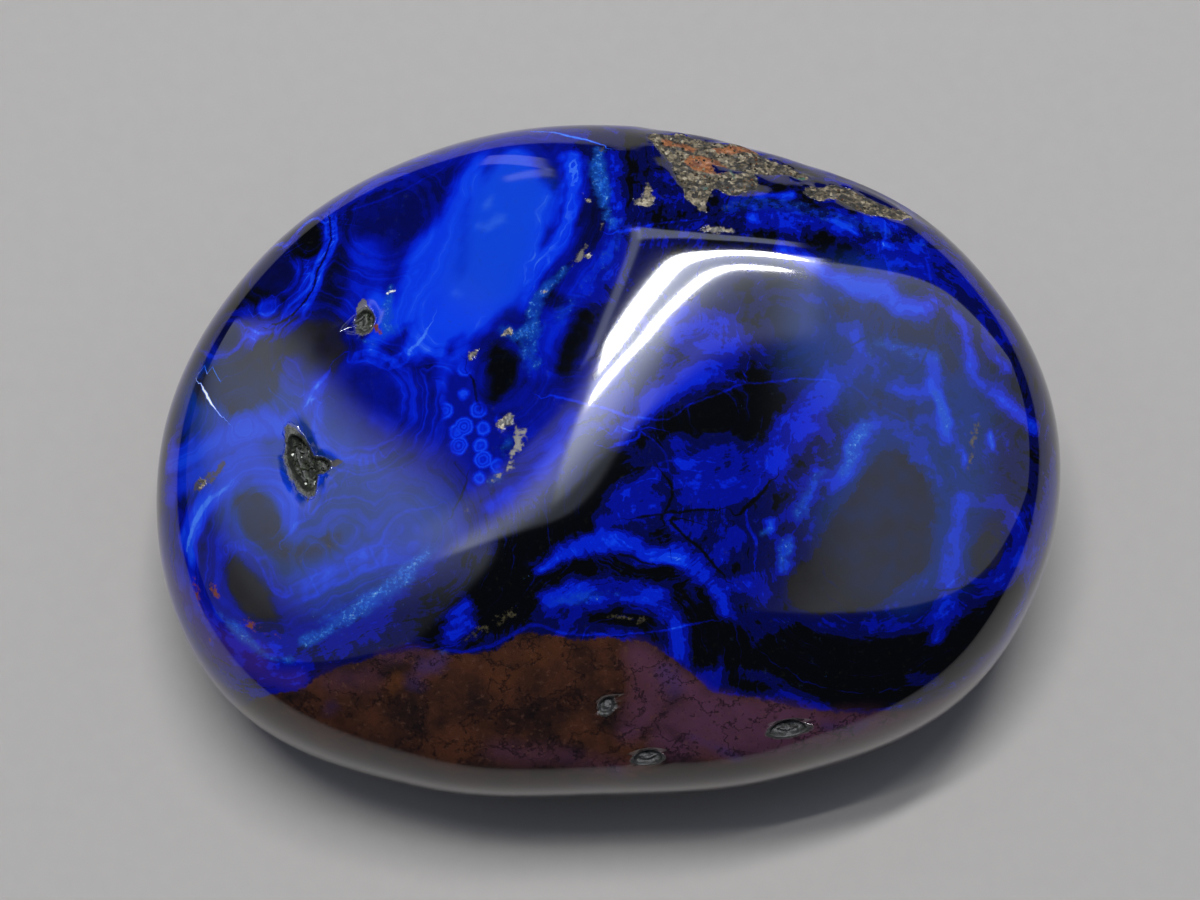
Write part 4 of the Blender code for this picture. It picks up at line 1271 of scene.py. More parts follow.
def stepped_tone(tree, tone, mottling):
    """Growth by steps: the blue changes quickly from one flat tone to the next, with a thin
    light line between them."""
    steps = add(tree, TIMES, (tone, 1 / STEP))
    edge = add(tree, PART, (steps,))
    risen = add(tree, PLUS, (add(tree, WHOLE, (steps,)), add(tree, SPAN, (edge, 0.3, 0.7))))
    rise, fall = (add(tree, SPAN, s) for s in ((edge, 0.5, 0.75), (edge, 0.75, 1.0, 1.0, 0.0)))
    line = add(tree, TIMES, (rise, fall))
    stepped = add(tree, TIMES_PLUS, (line, 0.06, add(tree, TIMES, (risen, STEP))))
    share = add(tree, TIMES, (add(tree, SPAN, (mottling, 0.1, 0.4)), 0.75))
    return add(tree, MIX, (share, tone, stepped))


def thread_cover(tree, grain, name):
    """How strongly a thread shows, with a slightly shaky line."""
    offset, half, strength = field_parts(tree, name)
    away = add(tree, UNSIGNED, (ragged(tree, offset, (grain.fleck, 0.25)),))
    shape = add(tree, SPAN, (add(tree, MINUS, (away, half)), -0.08, 0.09, 1.0, 0.0))
    return add(tree, TIMES, (shape, strength))


def threaded_tone(tree, grain, tone, light, dark):
    """The light threads, broken here and there, and the dark ones."""
    broken = add(tree, NOISE, (grain.place, 1 / THREAD_BREAK, 2.0))
    whole = add(tree, TIMES, (light, add(tree, SPAN, (broken, 0.3, 0.55, 0.45, 1.0))))
    lit = add(tree, TIMES_PLUS, (whole, 0.42, tone))
    return add(tree, TIMES, (lit, add(tree, MINUS, (1.0, add(tree, TIMES, (dark, 0.9))))))


def ringed_tone(tree, grain, tone, bubbles):
    """Small round growths with rings of their own."""
    links = {"Vector": grain.place, "Scale": 1 / ROUND_GROWTH, "Randomness": 0.85}
    cells = add(tree, "ShaderNodeTexVoronoi", links)
    reach = ragged(tree, cells, (grain.fleck, 0.2))
    rings = add(tree, "ShaderNodeValToRGB", {0: reach}, stops=RINGS)
    return add(tree, MIX, (add(tree, TIMES, (bubbles, 0.85)), tone, rings))


def azurite_blue(tree, grain, look, tone, light, tint, painted_sheen):
    """The blue of a tone, with a painted grey sheen of reflected light in the dark lobes and the
    brightest threads drawn in.
    """
    blue = add(tree, "ShaderNodeValToRGB", {0: tone}, stops=BLUES)
    blue = add(tree, OVER, (add(tree, TIMES, (tint, 0.36)), blue, look.haze))
    # Painted sheen: the grey of reflected light, laid over the darkest tones of the lobes.
    dark = add(tree, TIMES, (painted_sheen, add(tree, SPAN, (tone, 0.1, 0.35, 1.0, 0.0))))
    sheen_share = add(tree, TIMES, (dark, add(tree, SPAN, (grain.cloud, 0.25, 0.65, 0.6, 1.0))))
    blue = add(tree, OVER, (sheen_share, blue, look.painted_sheen))
    blue = add(tree, OVER, (add(tree, SPAN, (light, 1.0, 1.3, 0.0, 0.8)), blue, look.powder))
    return add(tree, OVER, (add(tree, SPAN, (light, 1.4, 1.9)), blue, look.crystal))


def dusted(tree, grain, look, colour, dust):
    """A colour with crushed azurite over it, and where the crushed grains lie."""
    haze = ragged(tree, dust, (grain.cloud, 0.6), (grain.fleck, 0.7))
    colour = add(tree, OVER, (add(tree, SPAN, (haze, 0.12, 0.8, 0.0, 0.62)), colour, look.haze))
    grainy = add(tree, TIMES_PLUS, (grain.fleck, 0.4, add(tree, TIMES, (grain.dots, 0.6))))
    crushed = add(tree, SPAN, (add(tree, TIMES_PLUS, (dust, 0.26, grainy)), 0.66, 0.84))
    spread = add(tree, NOISE, (grain.place, 1 / CRUSHED_GRAIN, 2.0, 0.7))
    powder = add(tree, "ShaderNodeValToRGB", {0: spread}, stops=POWDERS)
    return add(tree, OVER, (add(tree, TIMES, (crushed, 0.8)), colour, powder)), crushed


def host_rock(tree, grain, look, painted_hand_reflection, violet, stain, orange):
    """Brown host rock, tinged by a painted pink reflection of a hand and by azurite, with flecks,
    stains and fine splits.
    """
    cloud = grain.cloud
    broad = add(tree, NOISE, (grain.place, 1 / HOST_PATCH, 4.0, 0.6))
    splits = add(tree, NOISE, (grain.place, 1 / HOST_SPLIT, 5.0, 0.65))
    beside = add(tree, UNSIGNED, (add(tree, MINUS, (splits, 0.5)),))
    iron = add(tree, SPAN, (cloud, 0.3, 0.6))
    through = [
        (add(tree, SPAN, (orange, 0.0, 1.0)), iron, look.host_orange),
        # Painted reflection: the pink of a hand, laid into the host rock's colour.
        (painted_hand_reflection, add(tree, SPAN, (cloud, 0.25, 0.6, 0.55, 1.0)), look.painted_hand_reflection),
        (violet, 0.6, look.violet),
        (stain, add(tree, SPAN, (cloud, 0.35, 0.6, 0.5, 1.0)), look.stain),
        (1.0, add(tree, SPAN, (grain.fleck, 0.56, 0.74, 0.0, 0.5)), look.host_fleck),
        (1.0, add(tree, SPAN, (grain.dots, 0.60, 0.74, 0.0, 0.55)), look.stain),
        (1.0, add(tree, SPAN, (beside, 0.0, 0.022, 0.75, 0.0)), look.stain),
    ]
    rock = add(
        tree, OVER, (add(tree, SPAN, (broad, 0.35, 0.65)), look.host_dark, look.host_light)
    )
    for field, share, colour in through:
        rock = add(tree, OVER, (add(tree, TIMES, (field, share)), rock, colour))
    return rock


def matrix_ground(tree, grain, look, rusty, green):
    """Gritty matrix with iron stain and malachite in it."""
    links = {"Vector": grain.place, "Scale": 1 / GRIT}
    grit = add(tree, "ShaderNodeTexVoronoi", links, out=1)
    pick = add(tree, "ShaderNodeSeparateColor", {0: grit})
    gritty = ragged(
        tree, add(tree, TIMES, (pick, 0.75)), (grain.fleck, 1.6), (grain.cloud, 0.9)
    )
    ground = add(tree, "ShaderNodeValToRGB", {0: gritty}, stops=MATRIX_TANS)
    rusted = add(tree, OVER, (add(tree, SPAN, (pick, 0.2, 0.8)), look.rust, look.ochre))
    iron = add(tree, TIMES_PLUS, (grain.shaggy, 0.8, rusty))
    ground = add(tree, OVER, (add(tree, SPAN, (iron, 0.3, 0.6, 0.0, 0.9)), ground, rusted))
    copper = add(tree, SPAN, (add(tree, PLUS, (green, grain.shaggy)), 0.4, 0.7, 0.0, 0.9))
    return add(tree, OVER, (copper, ground, look.malachite))


def azurite_material(look):
    # Azurite: massive, banded copper carbonate, lapped and polished to a glassy skin. Its
    # index is high, so it gives sharp bright reflections over a blue that runs from near
    # black, where the crystals are large, to a powdery bright blue where they are fine. The
    # clayey host rock at the front takes a duller polish, and the matrix at the back stayed
    # rough.
    material, tree, shader = bare_material("azurite, lapped and polished", IOR=look.index)
    place = add(tree, "ShaderNodeTexCoord", {}, out=3)
    cloud = add(tree, NOISE, (place, 1 / CLOUD, 6.0, 0.62))
    fleck = add(tree, NOISE, (place, 1 / FLECK, 4.0, 0.6))
    dots = add(tree, NOISE, (place, 1 / DOT, 2.0, 0.6))
    shaggy = ragged(tree, 0.0, (fleck, 1.3), (dots, 0.6))
    grain = Grain(place, cloud, fleck, dots, shaggy)

    tone, growth, banding = field_parts(tree, "shade")
    rusty, green, mottling = field_parts(tree, "matrix")
    dust, bubbles, olive = field_parts(tree, "grain")
    # The pale field's last part is a painted grey sheen of reflected light.
    white, tint, painted_sheen = field_parts(tree, "pale")
    patch, tan, pit = field_parts(tree, "rough")
    stain, orange, rust = field_parts(tree, "stain")
    # The host field's second part marks a painted pink reflection of a hand.
    host, painted_hand_reflection, violet = field_parts(tree, "host")
    light, dark = (thread_cover(tree, grain, n) for n in ("light_thread", "dark_thread"))

    # The azurite itself
    tone = banded_tone(tree, place, tone, growth, banding)
    tone = mottled_tone(tree, grain, tone, mottling)
    tone = stepped_tone(tree, tone, mottling)
    tone = threaded_tone(tree, grain, tone, light, dark)
    tone = ringed_tone(tree, grain, tone, bubbles)
    blue = azurite_blue(tree, grain, look, tone, light, tint, painted_sheen)
    colour, crushed = dusted(tree, grain, look, blue, dust)

    # Clay and iron in its seams, and a painted pink reflection of a hand
    clay = add(tree, OVER, (fleck, look.clay, look.clay_light))
    clayey = add(tree, SPAN, (add(tree, PLUS, (olive, shaggy)), 0.42, 0.75, 0.0, 0.88))
    rusted = add(tree, SPAN, (add(tree, PLUS, (rust, shaggy)), 0.4, 0.7, 0.0, 0.95))
    colour = add(tree, OVER, (clayey, colour, clay))
    colour = add(tree, OVER, (rusted, colour, look.rust))
    # Painted reflection: the pink of a hand, laid into the colour along the front and the bottom
    # left corner.
    colour = add(tree, OVER, (add(tree, TIMES, (painted_hand_reflection, 0.55)), colour, look.painted_hand_reflection))

    # The host rock and the matrix
    rock = host_rock(tree, grain, look, painted_hand_reflection, violet, stain, orange)
    rocky = add(tree, SPAN, (ragged(tree, host, (cloud, 1.2), (fleck, 0.5)), -0.12, 0.14))
    ground = matrix_ground(tree, grain, look, rusty, green)
    shore = ragged(tree, add(tree, TIMES_PLUS, (shaggy, 0.5, patch)), (cloud, 1.1))
    rough = add(tree, SPAN, (shore, 0.42, 0.54))
    flecked = add(tree, SPAN, (add(tree, TIMES_PLUS, (shaggy, 0.8, tan)), 0.42, 0.62))
    copper = add(tree, SPAN, (add(tree, PLUS, (green, shaggy)), 0.55, 0.8))
    colour = add(tree, OVER, (rocky, colour, rock))
    colour = add(tree, OVER, (flecked, colour, ground))
    colour = add(tree, OVER, (rough, colour, ground))
    colour = add(tree, OVER, (add(tree, TIMES, (copper, 0.8)), colour, look.malachite))

    # Open pits, and white crystals
    hollow = add(tree, SPAN, (ragged(tree, pit, (fleck, 0.3)), 0.02, 0.2))
    floor = add(tree, OVER, (add(tree, SPAN, (fleck, 0.45, 0.65)), look.pit, look.pit_light))
    floor = add(tree, OVER, (add(tree, TIMES, (rocky, 0.75)), floor, look.stain))
    pale = add(tree, SPAN, (ragged(tree, white, (dots, 0.8)), 0.35, 0.55))
    colour = add(tree, OVER, (hollow, colour, floor))
    colour = add(tree, OVER, (pale, colour, look.crystal))

    # The polish, which the clay, the powder and the rough parts don't take
    bare = add(tree, HIGHER, (rough, add(tree, SPAN, (pit, 0.0, 0.05))))
    bare = add(tree, HIGHER, (bare, add(tree, TIMES, (flecked, 0.7))))
    dull = add(tree, HIGHER, (clayey, add(tree, TIMES, (crushed, 0.35))))
    finish = add(tree, MIX, (rocky, look.polish, look.host_polish))
    finish = add(tree, MIX, (dull, finish, 0.3))
    finish = add(tree, MIX, (bare, finish, 0.62))
    height = add(tree, TIMES, (add(tree, PLUS, (fleck, dots)), bare))
    links = {"Strength": 0.6, "Distance": GRAIN_RELIEF, "Height": height}
    tree.links.new(colour, shader.inputs["Base Color"])
    tree.links.new(finish, shader.inputs["Roughness"])
    tree.links.new(add(tree, "ShaderNodeBump", links), shader.inputs["Normal"])
    return material


def crystal_material(look):
    # Olive clay-stained crystals, grown in a hollow and never polished, with a clean white one
    # here and there: dull in the mass, with a glassy sparkle on a few faces.
    material, tree, shader = bare_material("crystals in a vug", IOR=1.5, Roughness=0.55)
    share = add(tree, "ShaderNodeAttribute", {}, out=2, attribute_name="pick")
    clean = add(tree, "ShaderNodeMapRange", {0: share, 1: 0.94, 2: 0.95})
    olive = add(tree, OVER, (share, look.pit, look.pit_light))
    colour = add(tree, OVER, (clean, olive, look.crystal))
    tree.links.new(colour, shader.inputs["Base Color"])
    return material


def grain_material(look):
    # Grains of weathered copper ore: dull tan and grey, with some rust and malachite.
    material, tree, shader = bare_material("matrix grains", IOR=1.45, Roughness=0.95)
    place = add(tree, "ShaderNodeTexCoord", {}, out=3)
    pick = add(tree, "ShaderNodeAttribute", {}, out=2, attribute_name="pick")
    base = add(tree, "ShaderNodeValToRGB", {0: pick}, stops=GRAIN_TANS)
    spots = add(tree, NOISE, (place, 1 / RUST_SPOT, 3.0))
    rusty = add(tree, "ShaderNodeMapRange", {0: spots, 1: 0.56, 2: 0.64, 3: 0.0, 4: 0.7})
    base = add(tree, OVER, (rusty, base, look.rust))
    tree.links.new(base, shader.inputs["Base Color"])
    return material


def floor_material(look):
    # Studio paper: pale, matt and even, with the faint tooth of its fibres.
    material, tree, shader = bare_material("studio paper", Roughness=0.9)
    place = add(tree, "ShaderNodeTexCoord", {}, out=3)
    tooth = add(tree, NOISE, (place, 1 / PAPER_TOOTH, 2.0))
    shade = tuple(0.94 * c for c in look.paper)
    colour = add(tree, OVER, (tooth, shade, look.paper))
    tree.links.new(colour, shader.inputs["Base Color"])
    return material


# ---------------------------------------------------------------------------------------------
# Crystals and grains


TURN = 6.28  # as far round as a chip is turned, in radians


def scatter_tree(name, sides):
    """Geometry Nodes that stand chips on a surface, each with a size, a turn and a pick."""
    tree = bpy.data.node_groups.new(name, "GeometryNodeTree")
    face = tree.interface
    face.new_socket("Surface", in_out="INPUT", socket_type="NodeSocketGeometry")
    sizes = [
        ("Spacing", "NodeSocketFloat", "Least distance between two chips"),
        ("Density", "NodeSocketFloat", "Chips per square metre, before the spacing thins them"),
        ("Smallest", "NodeSocketFloat", "Size of the smallest chip"),
        ("Largest", "NodeSocketFloat", "Size of the largest chip"),
        ("Lean", "NodeSocketFloat", "How far a chip leans off the surface, in radians"),
        ("Seed", "NodeSocketInt", "Picks the chips' places and turns"),
        ("Finish", "NodeSocketMaterial", "The chips' material"),
    ]
    for title, kind, says in sizes:
        face.new_socket(title, in_out="INPUT", socket_type=kind, description=says)
    face.new_socket("Chips", in_out="OUTPUT", socket_type="NodeSocketGeometry")
    given = tree.nodes.new("NodeGroupInput").outputs
    links = {
        "Mesh": given["Surface"],
        "Distance Min": given["Spacing"],
        "Density Max": given["Density"],
        "Seed": given["Seed"],
    }
    spread = add(
        tree, "GeometryNodeDistributePointsOnFaces", links, distribute_method="POISSON"
    ).node.outputs
    index = add(tree, "GeometryNodeInputIndex", {})
    lean = given["Lean"]
    back = add(tree, TIMES, (lean, -1.0))
    ranges = [
        (back, lean), (back, lean), (0.0, TURN), (given["Smallest"], given["Largest"]),
        (0.6, 1.1), (0.0, 1.0),
    ]
    leans, tips, turn, size, squat, pick = (
        add(tree, CHANCE, (low, high, index, shift)) for shift, (low, high) in enumerate(ranges, 1)
    )
    turned = add(tree, "ShaderNodeCombineXYZ", {0: leans, 1: tips, 2: turn})
    links = {
        0: spread["Rotation"],
        1: add(tree, "FunctionNodeEulerToRotation", {0: turned}),
    }
    turned = add(tree, "FunctionNodeRotateRotation", links, rotation_space="LOCAL")
    width = add(tree, TIMES, (size, squat))
    # A chip is pointed, and about one unit long.
    links = {"Vertices": sides, "Radius Top": 0.18, "Radius Bottom": 0.42, "Depth": 0.7}
    links = {
        "Points": spread["Points"],
        "Instance": add(tree, "GeometryNodeMeshCone", links),
        "Rotation": turned,
        "Scale": add(tree, "ShaderNodeCombineXYZ", {0: width, 1: size, 2: size}),
    }
    stood = add(tree, "GeometryNodeInstanceOnPoints", links)
    links = {"Geometry": stood, "Name": "pick", "Value": pick}
    picked = add(
        tree, "GeometryNodeStoreNamedAttribute", links, data_type="FLOAT", domain="INSTANCE"
    )
    real = add(tree, "GeometryNodeRealizeInstances", {0: picked})
    flat = add(tree, "GeometryNodeSetShadeSmooth", {"Geometry": real, "Shade Smooth": False})
    done = add(tree, "GeometryNodeSetMaterial", {"Geometry": flat, "Material": given["Finish"]})
    tree.links.new(done, tree.nodes.new("NodeGroupOutput").inputs[0])
    return tree


def scattered(name, points, faces, tree, material, **sizes):
    """A plain mesh of the chips that a tree stands on a surface given in millimetres."""
    surface = bpy.data.meshes.new(name)
    surface.from_pydata((points * MM).tolist(), [], faces.tolist())
    carrier = bpy.data.objects.new(name + "_surface", surface)
    bpy.context.scene.collection.objects.link(carrier)
    modifier = carrier.modifiers.new("chips", "NODES")
    modifier.node_group = tree
    sockets = {item.name: item.identifier for item in tree.interface.items_tree}
    modifier[sockets["Finish"]] = material
    for title, value in sizes.items():
        modifier[sockets[title]] = value
    bpy.context.view_layer.update()
    ready = carrier.evaluated_get(bpy.context.evaluated_depsgraph_get())
    mesh = bpy.data.meshes.new_from_object(ready)
    mesh.polygons.foreach_set("material_index", [0] * len(mesh.polygons))
    bpy.data.objects.remove(carrier)
    mesh.name = name
    return mesh


def cut_out(skin, field, level):
    """The skin's faces where a field is above a level, as points and faces of their own."""
    faces = skin.faces[(field[skin.faces] > level).all(1)]
    used, faces = np.unique(faces, return_inverse=True)
    return skin.points[used], faces.reshape(-1, 3)


# ---------------------------------------------------------------------------------------------
# Stage


def aim(thing, place, target):
    """Puts a camera or a light at a place and points it at a target."""
    thing.location = place
    thing.rotation_euler = (Vector(target) - Vector(place)).to_track_quat("-Z", "Y").to_euler()


def add_light(name, shape_size, power, place, target, along=None, colour=(1, 1, 1)):
    """An area lamp at a place, aimed at a target, with its long side along a direction."""
    light = bpy.data.lights.new(name, "AREA")
    light.shape = "RECTANGLE"
    light.size, light.size_y = shape_size
    light.energy, light.color = power, colour
    lamp = bpy.data.objects.new(name, light)
    bpy.context.scene.collection.objects.link(lamp)
    aim(lamp, place, target)
    if along is not None:
        back = (Vector(place) - Vector(target)).normalized()
        across = back.cross(along).normalized()
        lamp.matrix_world = Matrix.Translation(place) @ Matrix(
            (across.cross(back), across, back)
        ).transposed().to_4x4()
    return lamp


FLOOR_GAP = 0.05 * MM  # how far the floor lies below the stone


def floor_sheet(stage):
    """The paper that the stone lies on, a hair below it."""
    mesh = bpy.data.meshes.new("floor")
    half, low = stage.floor_side / 2, -FLOOR_GAP
    corners = [(-half, -half, low), (half, -half, low), (half, half, low), (-half, half, low)]
    mesh.from_pydata(corners, [], [(0, 1, 2, 3)])
    mesh.materials.append(floor_material(stage))
    floor = bpy.data.objects.new("floor", mesh)
    bpy.context.scene.collection.objects.link(floor)


# The camera looks down steeply from the front.
LENS, SENSOR = 100, 36  # millimetres
CAMERA_RISE = math.radians(82)
CAMERA_REACH = 258.5 * MM
CAMERA_TARGET = Vector((0, 0, 14 * MM))
PICTURE_WIDTH = 1200  # pixels
SHIFT_RIGHT, SHIFT_UP = -4.5, 13  # pixels


def set_camera():
    """The camera, from which the stone is seen."""
    lens = bpy.data.cameras.new("camera")
    lens.lens, lens.sensor_width = LENS, SENSOR
    lens.clip_start = 0.01
    lens.shift_x, lens.shift_y = SHIFT_RIGHT / PICTURE_WIDTH, SHIFT_UP / PICTURE_WIDTH
    camera = bpy.data.objects.new("camera", lens)
    bpy.context.scene.collection.objects.link(camera)
    away = Vector((0, -math.cos(CAMERA_RISE), math.sin(CAMERA_RISE)))
    aim(camera, CAMERA_TARGET + CAMERA_REACH * away, CAMERA_TARGET)
    bpy.context.scene.camera = camera


# The lamps, as they are reflected in the stone: places on a level half a metre up, which is
# stretched to the height that the lamps hang at.
LAMP_LEVEL = 0.5
STONE_TOP = 0.026
TUBES = {  # start, end, width
    "wide tube": ((-0.120, 0.089), (0.096, 0.198), 0.025),
    "thin tube": ((-0.104, 0.061), (0.080, 0.112), 0.009),
}
# A panel is a cloth lit from behind and cut by a mask. corners: its mask, anticlockwise from
# above; edge: how soft the mask is, all round or for each side; lit: the line that it is
# brightest along; reach: how far the brightness falls off from that line; bright and dim: its
# radiance there and elsewhere.
PANELS = {
    "left panel": dict(
        corners=(
            (-0.170, -0.36), (-0.138, -0.13), (-0.150, -0.06), (-0.345, 0.185),
            (-1.60, 1.00), (-1.60, -0.40),
        ),
        edge=(0.02, 0.02, 0.06, 0.03, 0.014, 0.014),
        lit=((-0.07, 0.02), (-1.2, 0.73)), reach=0.29, bright=0.86, dim=0.12,
    ),
    "crest panel": dict(
        corners=(
            (-0.20, -0.06), (-0.08, -0.050), (-0.045, -0.030), (0.0, 0.020),
            (-0.02, 0.065), (-0.10, 0.088), (-0.20, 0.065), (-0.26, 0.030),
        ),
        edge=(0.02, 0.012, 0.012, 0.012, 0.012, 0.02, 0.04, 0.05),
        lit=((-0.17, -0.04), (-0.07, 0.04)), reach=0.055, bright=1.4, dim=0.35,
    ),
    "fitting": dict(
        corners=((-0.09, -0.02), (0.082, 0.040), (0.118, 0.225), (-0.125, 0.105)),
        edge=0.012, lit=((-0.12, 0.09), (0.09, 0.195)), reach=0.115, bright=5.0, dim=0.6,
    ),
    "fitting rim": dict(
        corners=((-0.125, 0.195), (0.12, 0.315), (0.13, 0.375), (-0.118, 0.262)),
        edge=0.010, lit=((-0.12, 0.24), (0.0, 0.29)), reach=0.3, bright=1.3, dim=1.0,
    ),
    "fitting end": dict(
        corners=((-0.150, 0.10), (-0.136, 0.10), (-0.112, 0.25), (-0.130, 0.25)),
        edge=0.006, lit=((-0.14, 0.1), (-0.12, 0.25)), reach=0.3, bright=1.1, dim=1.0,
    ),
    "right panel": dict(
        corners=((0.045, -0.305), (1.30, -0.13), (1.30, 0.55), (0.092, 0.19)),
        edge=(0.012, 0.012, 0.012, 0.05),
        lit=((0.0, 0.13), (0.5, 0.33)), reach=0.18, bright=0.95, dim=0.34,
    ),
    "window": dict(
        corners=((-0.40, 0.70), (-0.19, 0.66), (-0.21, 1.10), (-0.60, 1.50)),
        edge=0.04, lit=((-0.3, 0.6), (-0.3, 1.0)), reach=0.6, bright=0.75, dim=0.5,
    ),
    "window sill": dict(
        corners=((-0.284, 0.365), (-0.190, 0.560), (-0.183, 0.715), (-0.293, 0.420)),
        edge=0.02, lit=((-0.29, 0.39), (-0.19, 0.64)), reach=0.6, bright=0.75, dim=0.5,
    ),
}
CLOTH = (0.90, 0.99, 1.22)  # the colour that the panels' cloth gives the light
ROOM = (0.02, 0.02, 0.022, 1)
PANEL_GAP = 0.01  # height between one panel and the next, so that none hides another


def stretch(height):
    """How far a place on the lamp level moves out for a lamp at a height."""
    return (height - STONE_TOP) / (LAMP_LEVEL - STONE_TOP)


def panel_light(name, height, corners, edge, lit, reach, bright, dim):
    """A level lamp whose mask and fall-off are drawn by its nodes."""
    scale = stretch(height)
    corners = [Vector(c) * scale for c in corners]
    edges = edge if isinstance(edge, tuple) else (edge,) * len(corners)
    low = Vector([min(c[i] for c in corners) - max(edges) * scale for i in (0, 1)])
    high = Vector([max(c[i] for c in corners) + max(edges) * scale for i in (0, 1)])
    size, middle = high - low, ((low + high) / 2).to_3d() + Vector((0, 0, height))
    power = math.pi * size.x * size.y
    lamp = add_light(name, size, power, middle, middle - Vector((0, 0, 1)), colour=CLOTH)
    lamp.rotation_euler = (0, 0, 0)
    lamp.data.use_nodes = True
    tree = lamp.data.node_tree
    place = add(tree, "ShaderNodeNewGeometry", {})

    def gone_past(start, end):
        run = (end - start).normalized()
        inward = Vector((-run.y, run.x, 0))
        along = add(tree, ALONG, (place, inward))
        return add(tree, MINUS, (along, inward.xy.dot(start)))

    mask = 1.0
    for start, end, side in zip(corners, corners[1:] + corners[:1], edges):
        soft = side * scale / 2
        inside = add(tree, SPAN, (gone_past(start, end), -soft, soft))
        mask = add(tree, TIMES, (inside, mask))
    off = add(tree, UNSIGNED, (gone_past(*(Vector(p) * scale for p in lit)),))
    glow = add(tree, SPAN, (off, 0.0, reach * scale, bright, dim))
    strength = add(tree, TIMES, (glow, mask))
    tree.links.new(strength, tree.nodes["Emission"].inputs["Strength"])


def set_lights(stage):
    """Hangs the tubes and the panels, one above the other, in a nearly dark room."""
    height = stage.lamp_height
    for name, (start, end, width) in TUBES.items():
        start, end = (Vector((*p, LAMP_LEVEL)) * stretch(height) for p in (start, end))
        start.z = end.z = height
        run, width = end - start, width * stretch(height)
        power = stage.tube_brightness * math.pi * run.length * width
        add_light(name, (run.length, width), power, (start + end) / 2, (0, 0, 0.02), along=run)
        height += PANEL_GAP
    for name, parts in PANELS.items():
        panel_light(name, height, **parts)
        height += PANEL_GAP
    world = bpy.data.worlds.new("room")
    world.use_nodes = True
    world.node_tree.nodes["Background"].inputs["Color"].default_value = ROOM
    bpy.context.scene.world = world


# ---------------------------------------------------------------------------------------------
# Settings


def colour_of(name, code, says):
    """A colour setting, given as an sRGB hex value."""
    return bpy.props.FloatVectorProperty(
        name=name, description=says, subtype="COLOR", size=3, min=0, max=1, default=linear(code)
    )


def length_of(name, size, says):
    """A length setting, in metres."""
    return bpy.props.FloatProperty(
        name=name,
        description=says,
        subtype="DISTANCE",
        unit="LENGTH",
        min=0,
        default=size,
        precision=5,
    )


def share_of(name, value, says, low=0.0, high=1.0):
    """A plain number setting."""
    return bpy.props.FloatProperty(name=name, description=says, min=low, max=high, default=value)


class StoneLook(bpy.types.PropertyGroup):
    """Colours and finish of the polished stone."""

    index: share_of("Index", 1.78, "Index of refraction of azurite", 1.0, 3.0)
    polish: share_of("Polish", 0.05, "Roughness of the polished azurite")
    host_polish: share_of("Host polish", 0.11, "Roughness of the polished host rock")
    powder: colour_of("Powder", "#2f7cf0", "Crushed azurite in the veins")
    haze: colour_of("Haze", "#0f449e", "Finest crushed azurite, beside the veins")
    clay: colour_of("Clay", "#29271c", "Clay in the seams")
    clay_light: colour_of("Light clay", "#4c4630", "Light flecks of the clay")
    # Painted sheen: the grey of reflected light over the dark lobes, as a colour.
    painted_sheen: colour_of("Painted sheen", "#1d1b1b", "Painted grey sheen of reflected light over the dark lobes")
    rust: colour_of("Rust", "#683410", "Iron stain")
    ochre: colour_of("Ochre", "#8e5018", "Brightest iron stain in the matrix")
    # Painted reflection: the pink of a hand, as a colour.
    painted_hand_reflection: colour_of("Painted hand reflection", "#4a2c40", "Painted pink reflection of a hand")
    violet: colour_of("Violet", "#35285c", "Azurite dust in the host rock")
    host_dark: colour_of("Dark host rock", "#1b1110", "Host rock where it is darkest")
    host_light: colour_of("Light host rock", "#402418", "Host rock where it is lightest")
    host_orange: colour_of("Orange host rock", "#452714", "Host rock with iron in it")
    host_fleck: colour_of("Host flecks", "#5a3c30", "Light flecks in the host rock")
    stain: colour_of("Stain", "#08060a", "Dark iron stains")
    malachite: colour_of("Malachite", "#1f5646", "Green copper carbonate")
    crystal: colour_of("Crystal", "#dfe4d8", "White crystals")
    pit: colour_of("Pit", "#0c0f0a", "Floor of an open pit")
    pit_light: colour_of("Light pit", "#262c1b", "Crusts in an open pit")


class StoneGrains(bpy.types.PropertyGroup):
    """Sizes of the crystals and the grains."""

    crystal_small: length_of("Smallest crystal", 0.15 * MM, "Length of the smallest crystal")
    crystal_large: length_of("Largest crystal", 0.5 * MM, "Length of the largest crystal")
    grain_small: length_of("Smallest grain", 0.1 * MM, "Length of the smallest grain")
    grain_large: length_of("Largest grain", 0.32 * MM, "Length of the largest grain")
    seed: bpy.props.IntProperty(name="Seed", description="Picks the grains' places", default=7)


class StoneStage(bpy.types.PropertyGroup):
    """The studio."""

    floor_side: length_of("Floor", 4.0, "Side of the square floor")
    lamp_height: length_of("Lamp height", 0.8, "Height that the lamps hang at")
    tube_brightness: share_of("Tube brightness", 105.0, "Radiance of the two tubes", 0.0, 500.0)
    paper: colour_of("Paper", "#a29f9b", "The floor")


# ---------------------------------------------------------------------------------------------
# Operators

LINED, ROUGH = 0.6, 0.75  # levels of the lining and the matrix past which chips stand
CHIP_SPACING = 0.3 * MM
made = {}  # the skin and its fields, kept from one operator to the next


def worked_skin():
    """The skin and its fields, worked out once."""
    if not made:
        made["skin"], made["fields"], made["lined"] = marked_skin()
    return made["skin"], made["fields"]


class STONE_OT_polished_stone(bpy.types.Operator):
    """Builds the stone's marked and polished skin"""

    bl_idname = "stone.polished_stone"
    bl_label = "Polished Stone"

    def execute(self, context):
        skin, fields = worked_skin()
        mesh = mesh_of("polished_stone", skin, fields)
        piece = place_piece("polished_stone", mesh, azurite_material(context.scene.stone_look))
        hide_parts(STONE_NODE)
        return {"FINISHED"}


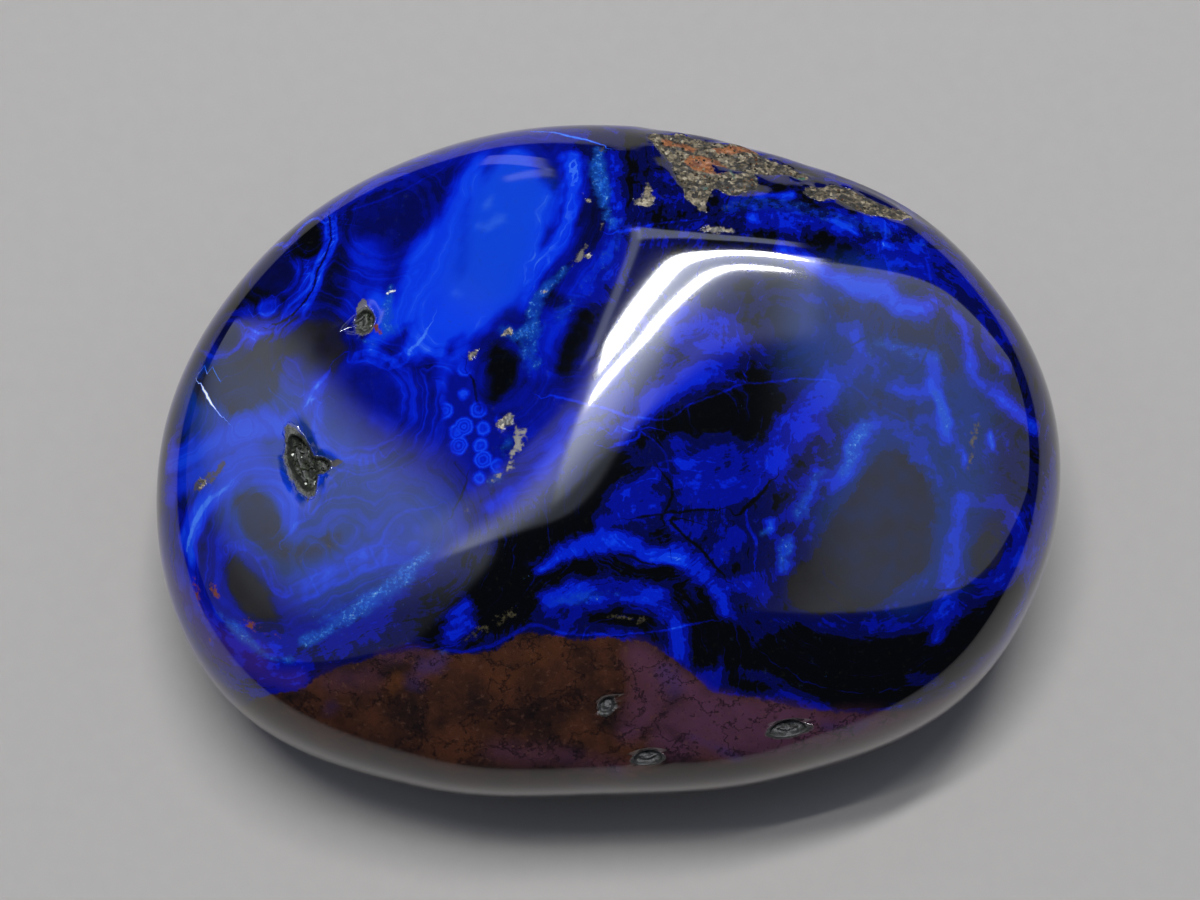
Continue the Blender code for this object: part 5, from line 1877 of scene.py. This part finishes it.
class STONE_OT_vug_crystals(bpy.types.Operator):
    """Grows small crystals in the open pits"""

    bl_idname = "stone.vug_crystals"
    bl_label = "Vug Crystals"

    def execute(self, context):
        skin, _ = worked_skin()
        sizes = context.scene.stone_grains
        material = crystal_material(context.scene.stone_look)
        points, faces = cut_out(skin, made["lined"], LINED)
        mesh = scattered(
            "vug_crystals",
            points,
            faces,
            scatter_tree("crystals in a pit", 6),
            material,
            Spacing=CHIP_SPACING,
            Density=9e6,
            Smallest=sizes.crystal_small,
            Largest=sizes.crystal_large,
            Lean=0.7,
            Seed=sizes.seed,
        )
        place_piece("vug_crystals", mesh, material)
        return {"FINISHED"}


class STONE_OT_matrix_grains(bpy.types.Operator):
    """Leaves loose grains in the rough matrix"""

    bl_idname = "stone.matrix_grains"
    bl_label = "Matrix Grains"

    def execute(self, context):
        skin, fields = worked_skin()
        sizes = context.scene.stone_grains
        material = grain_material(context.scene.stone_look)
        points, faces = cut_out(skin, fields["rough"][0], ROUGH)
        mesh = scattered(
            "matrix_grains",
            points,
            faces,
            scatter_tree("grains in the matrix", 5),
            material,
            Spacing=CHIP_SPACING,
            Density=8e6,
            Smallest=sizes.grain_small,
            Largest=sizes.grain_large,
            Lean=1.4,
            Seed=sizes.seed + 1,
        )
        place_piece("matrix_grains", mesh, material)
        return {"FINISHED"}


class STONE_OT_stage(bpy.types.Operator):
    """Sets the floor, the lights and the camera"""

    bl_idname = "stone.stage"
    bl_label = "Stage"

    def execute(self, context):
        stage = context.scene.stone_stage
        floor_sheet(stage)
        set_lights(stage)
        set_camera()
        context.scene.view_settings.view_transform = "Standard"
        return {"FINISHED"}


OPERATORS = (
    STONE_OT_polished_stone,
    STONE_OT_vug_crystals,
    STONE_OT_matrix_grains,
    STONE_OT_stage,
)


class STONE_PT_panel(bpy.types.Panel):
    """Lists the stone's operators and settings"""

    bl_idname = "STONE_PT_panel"
    bl_label = "Azurite Palm Stone"
    bl_space_type = "VIEW_3D"
    bl_region_type = "UI"
    bl_category = "Stone"

    def draw(self, context):
        for operator in OPERATORS:
            self.layout.operator(operator.bl_idname)
        scene = context.scene
        for group in (scene.stone_look, scene.stone_grains, scene.stone_stage):
            box = self.layout.box()
            for name in group.__annotations__:
                box.prop(group, name)


CLASSES = (StoneLook, StoneGrains, StoneStage, *OPERATORS, STONE_PT_panel)


def register():
    for kind in CLASSES:
        bpy.utils.register_class(kind)
    bpy.types.Scene.stone_look = bpy.props.PointerProperty(type=StoneLook)
    bpy.types.Scene.stone_grains = bpy.props.PointerProperty(type=StoneGrains)
    bpy.types.Scene.stone_stage = bpy.props.PointerProperty(type=StoneStage)


def unregister():
    for name in ("stone_look", "stone_grains", "stone_stage"):
        delattr(bpy.types.Scene, name)
    for kind in reversed(CLASSES):
        bpy.utils.unregister_class(kind)


def main():
    register()
    bpy.ops.stone.stage()
    bpy.ops.stone.polished_stone()
    bpy.ops.stone.vug_crystals()
    bpy.ops.stone.matrix_grains()


if __name__ == "__main__":
    main()
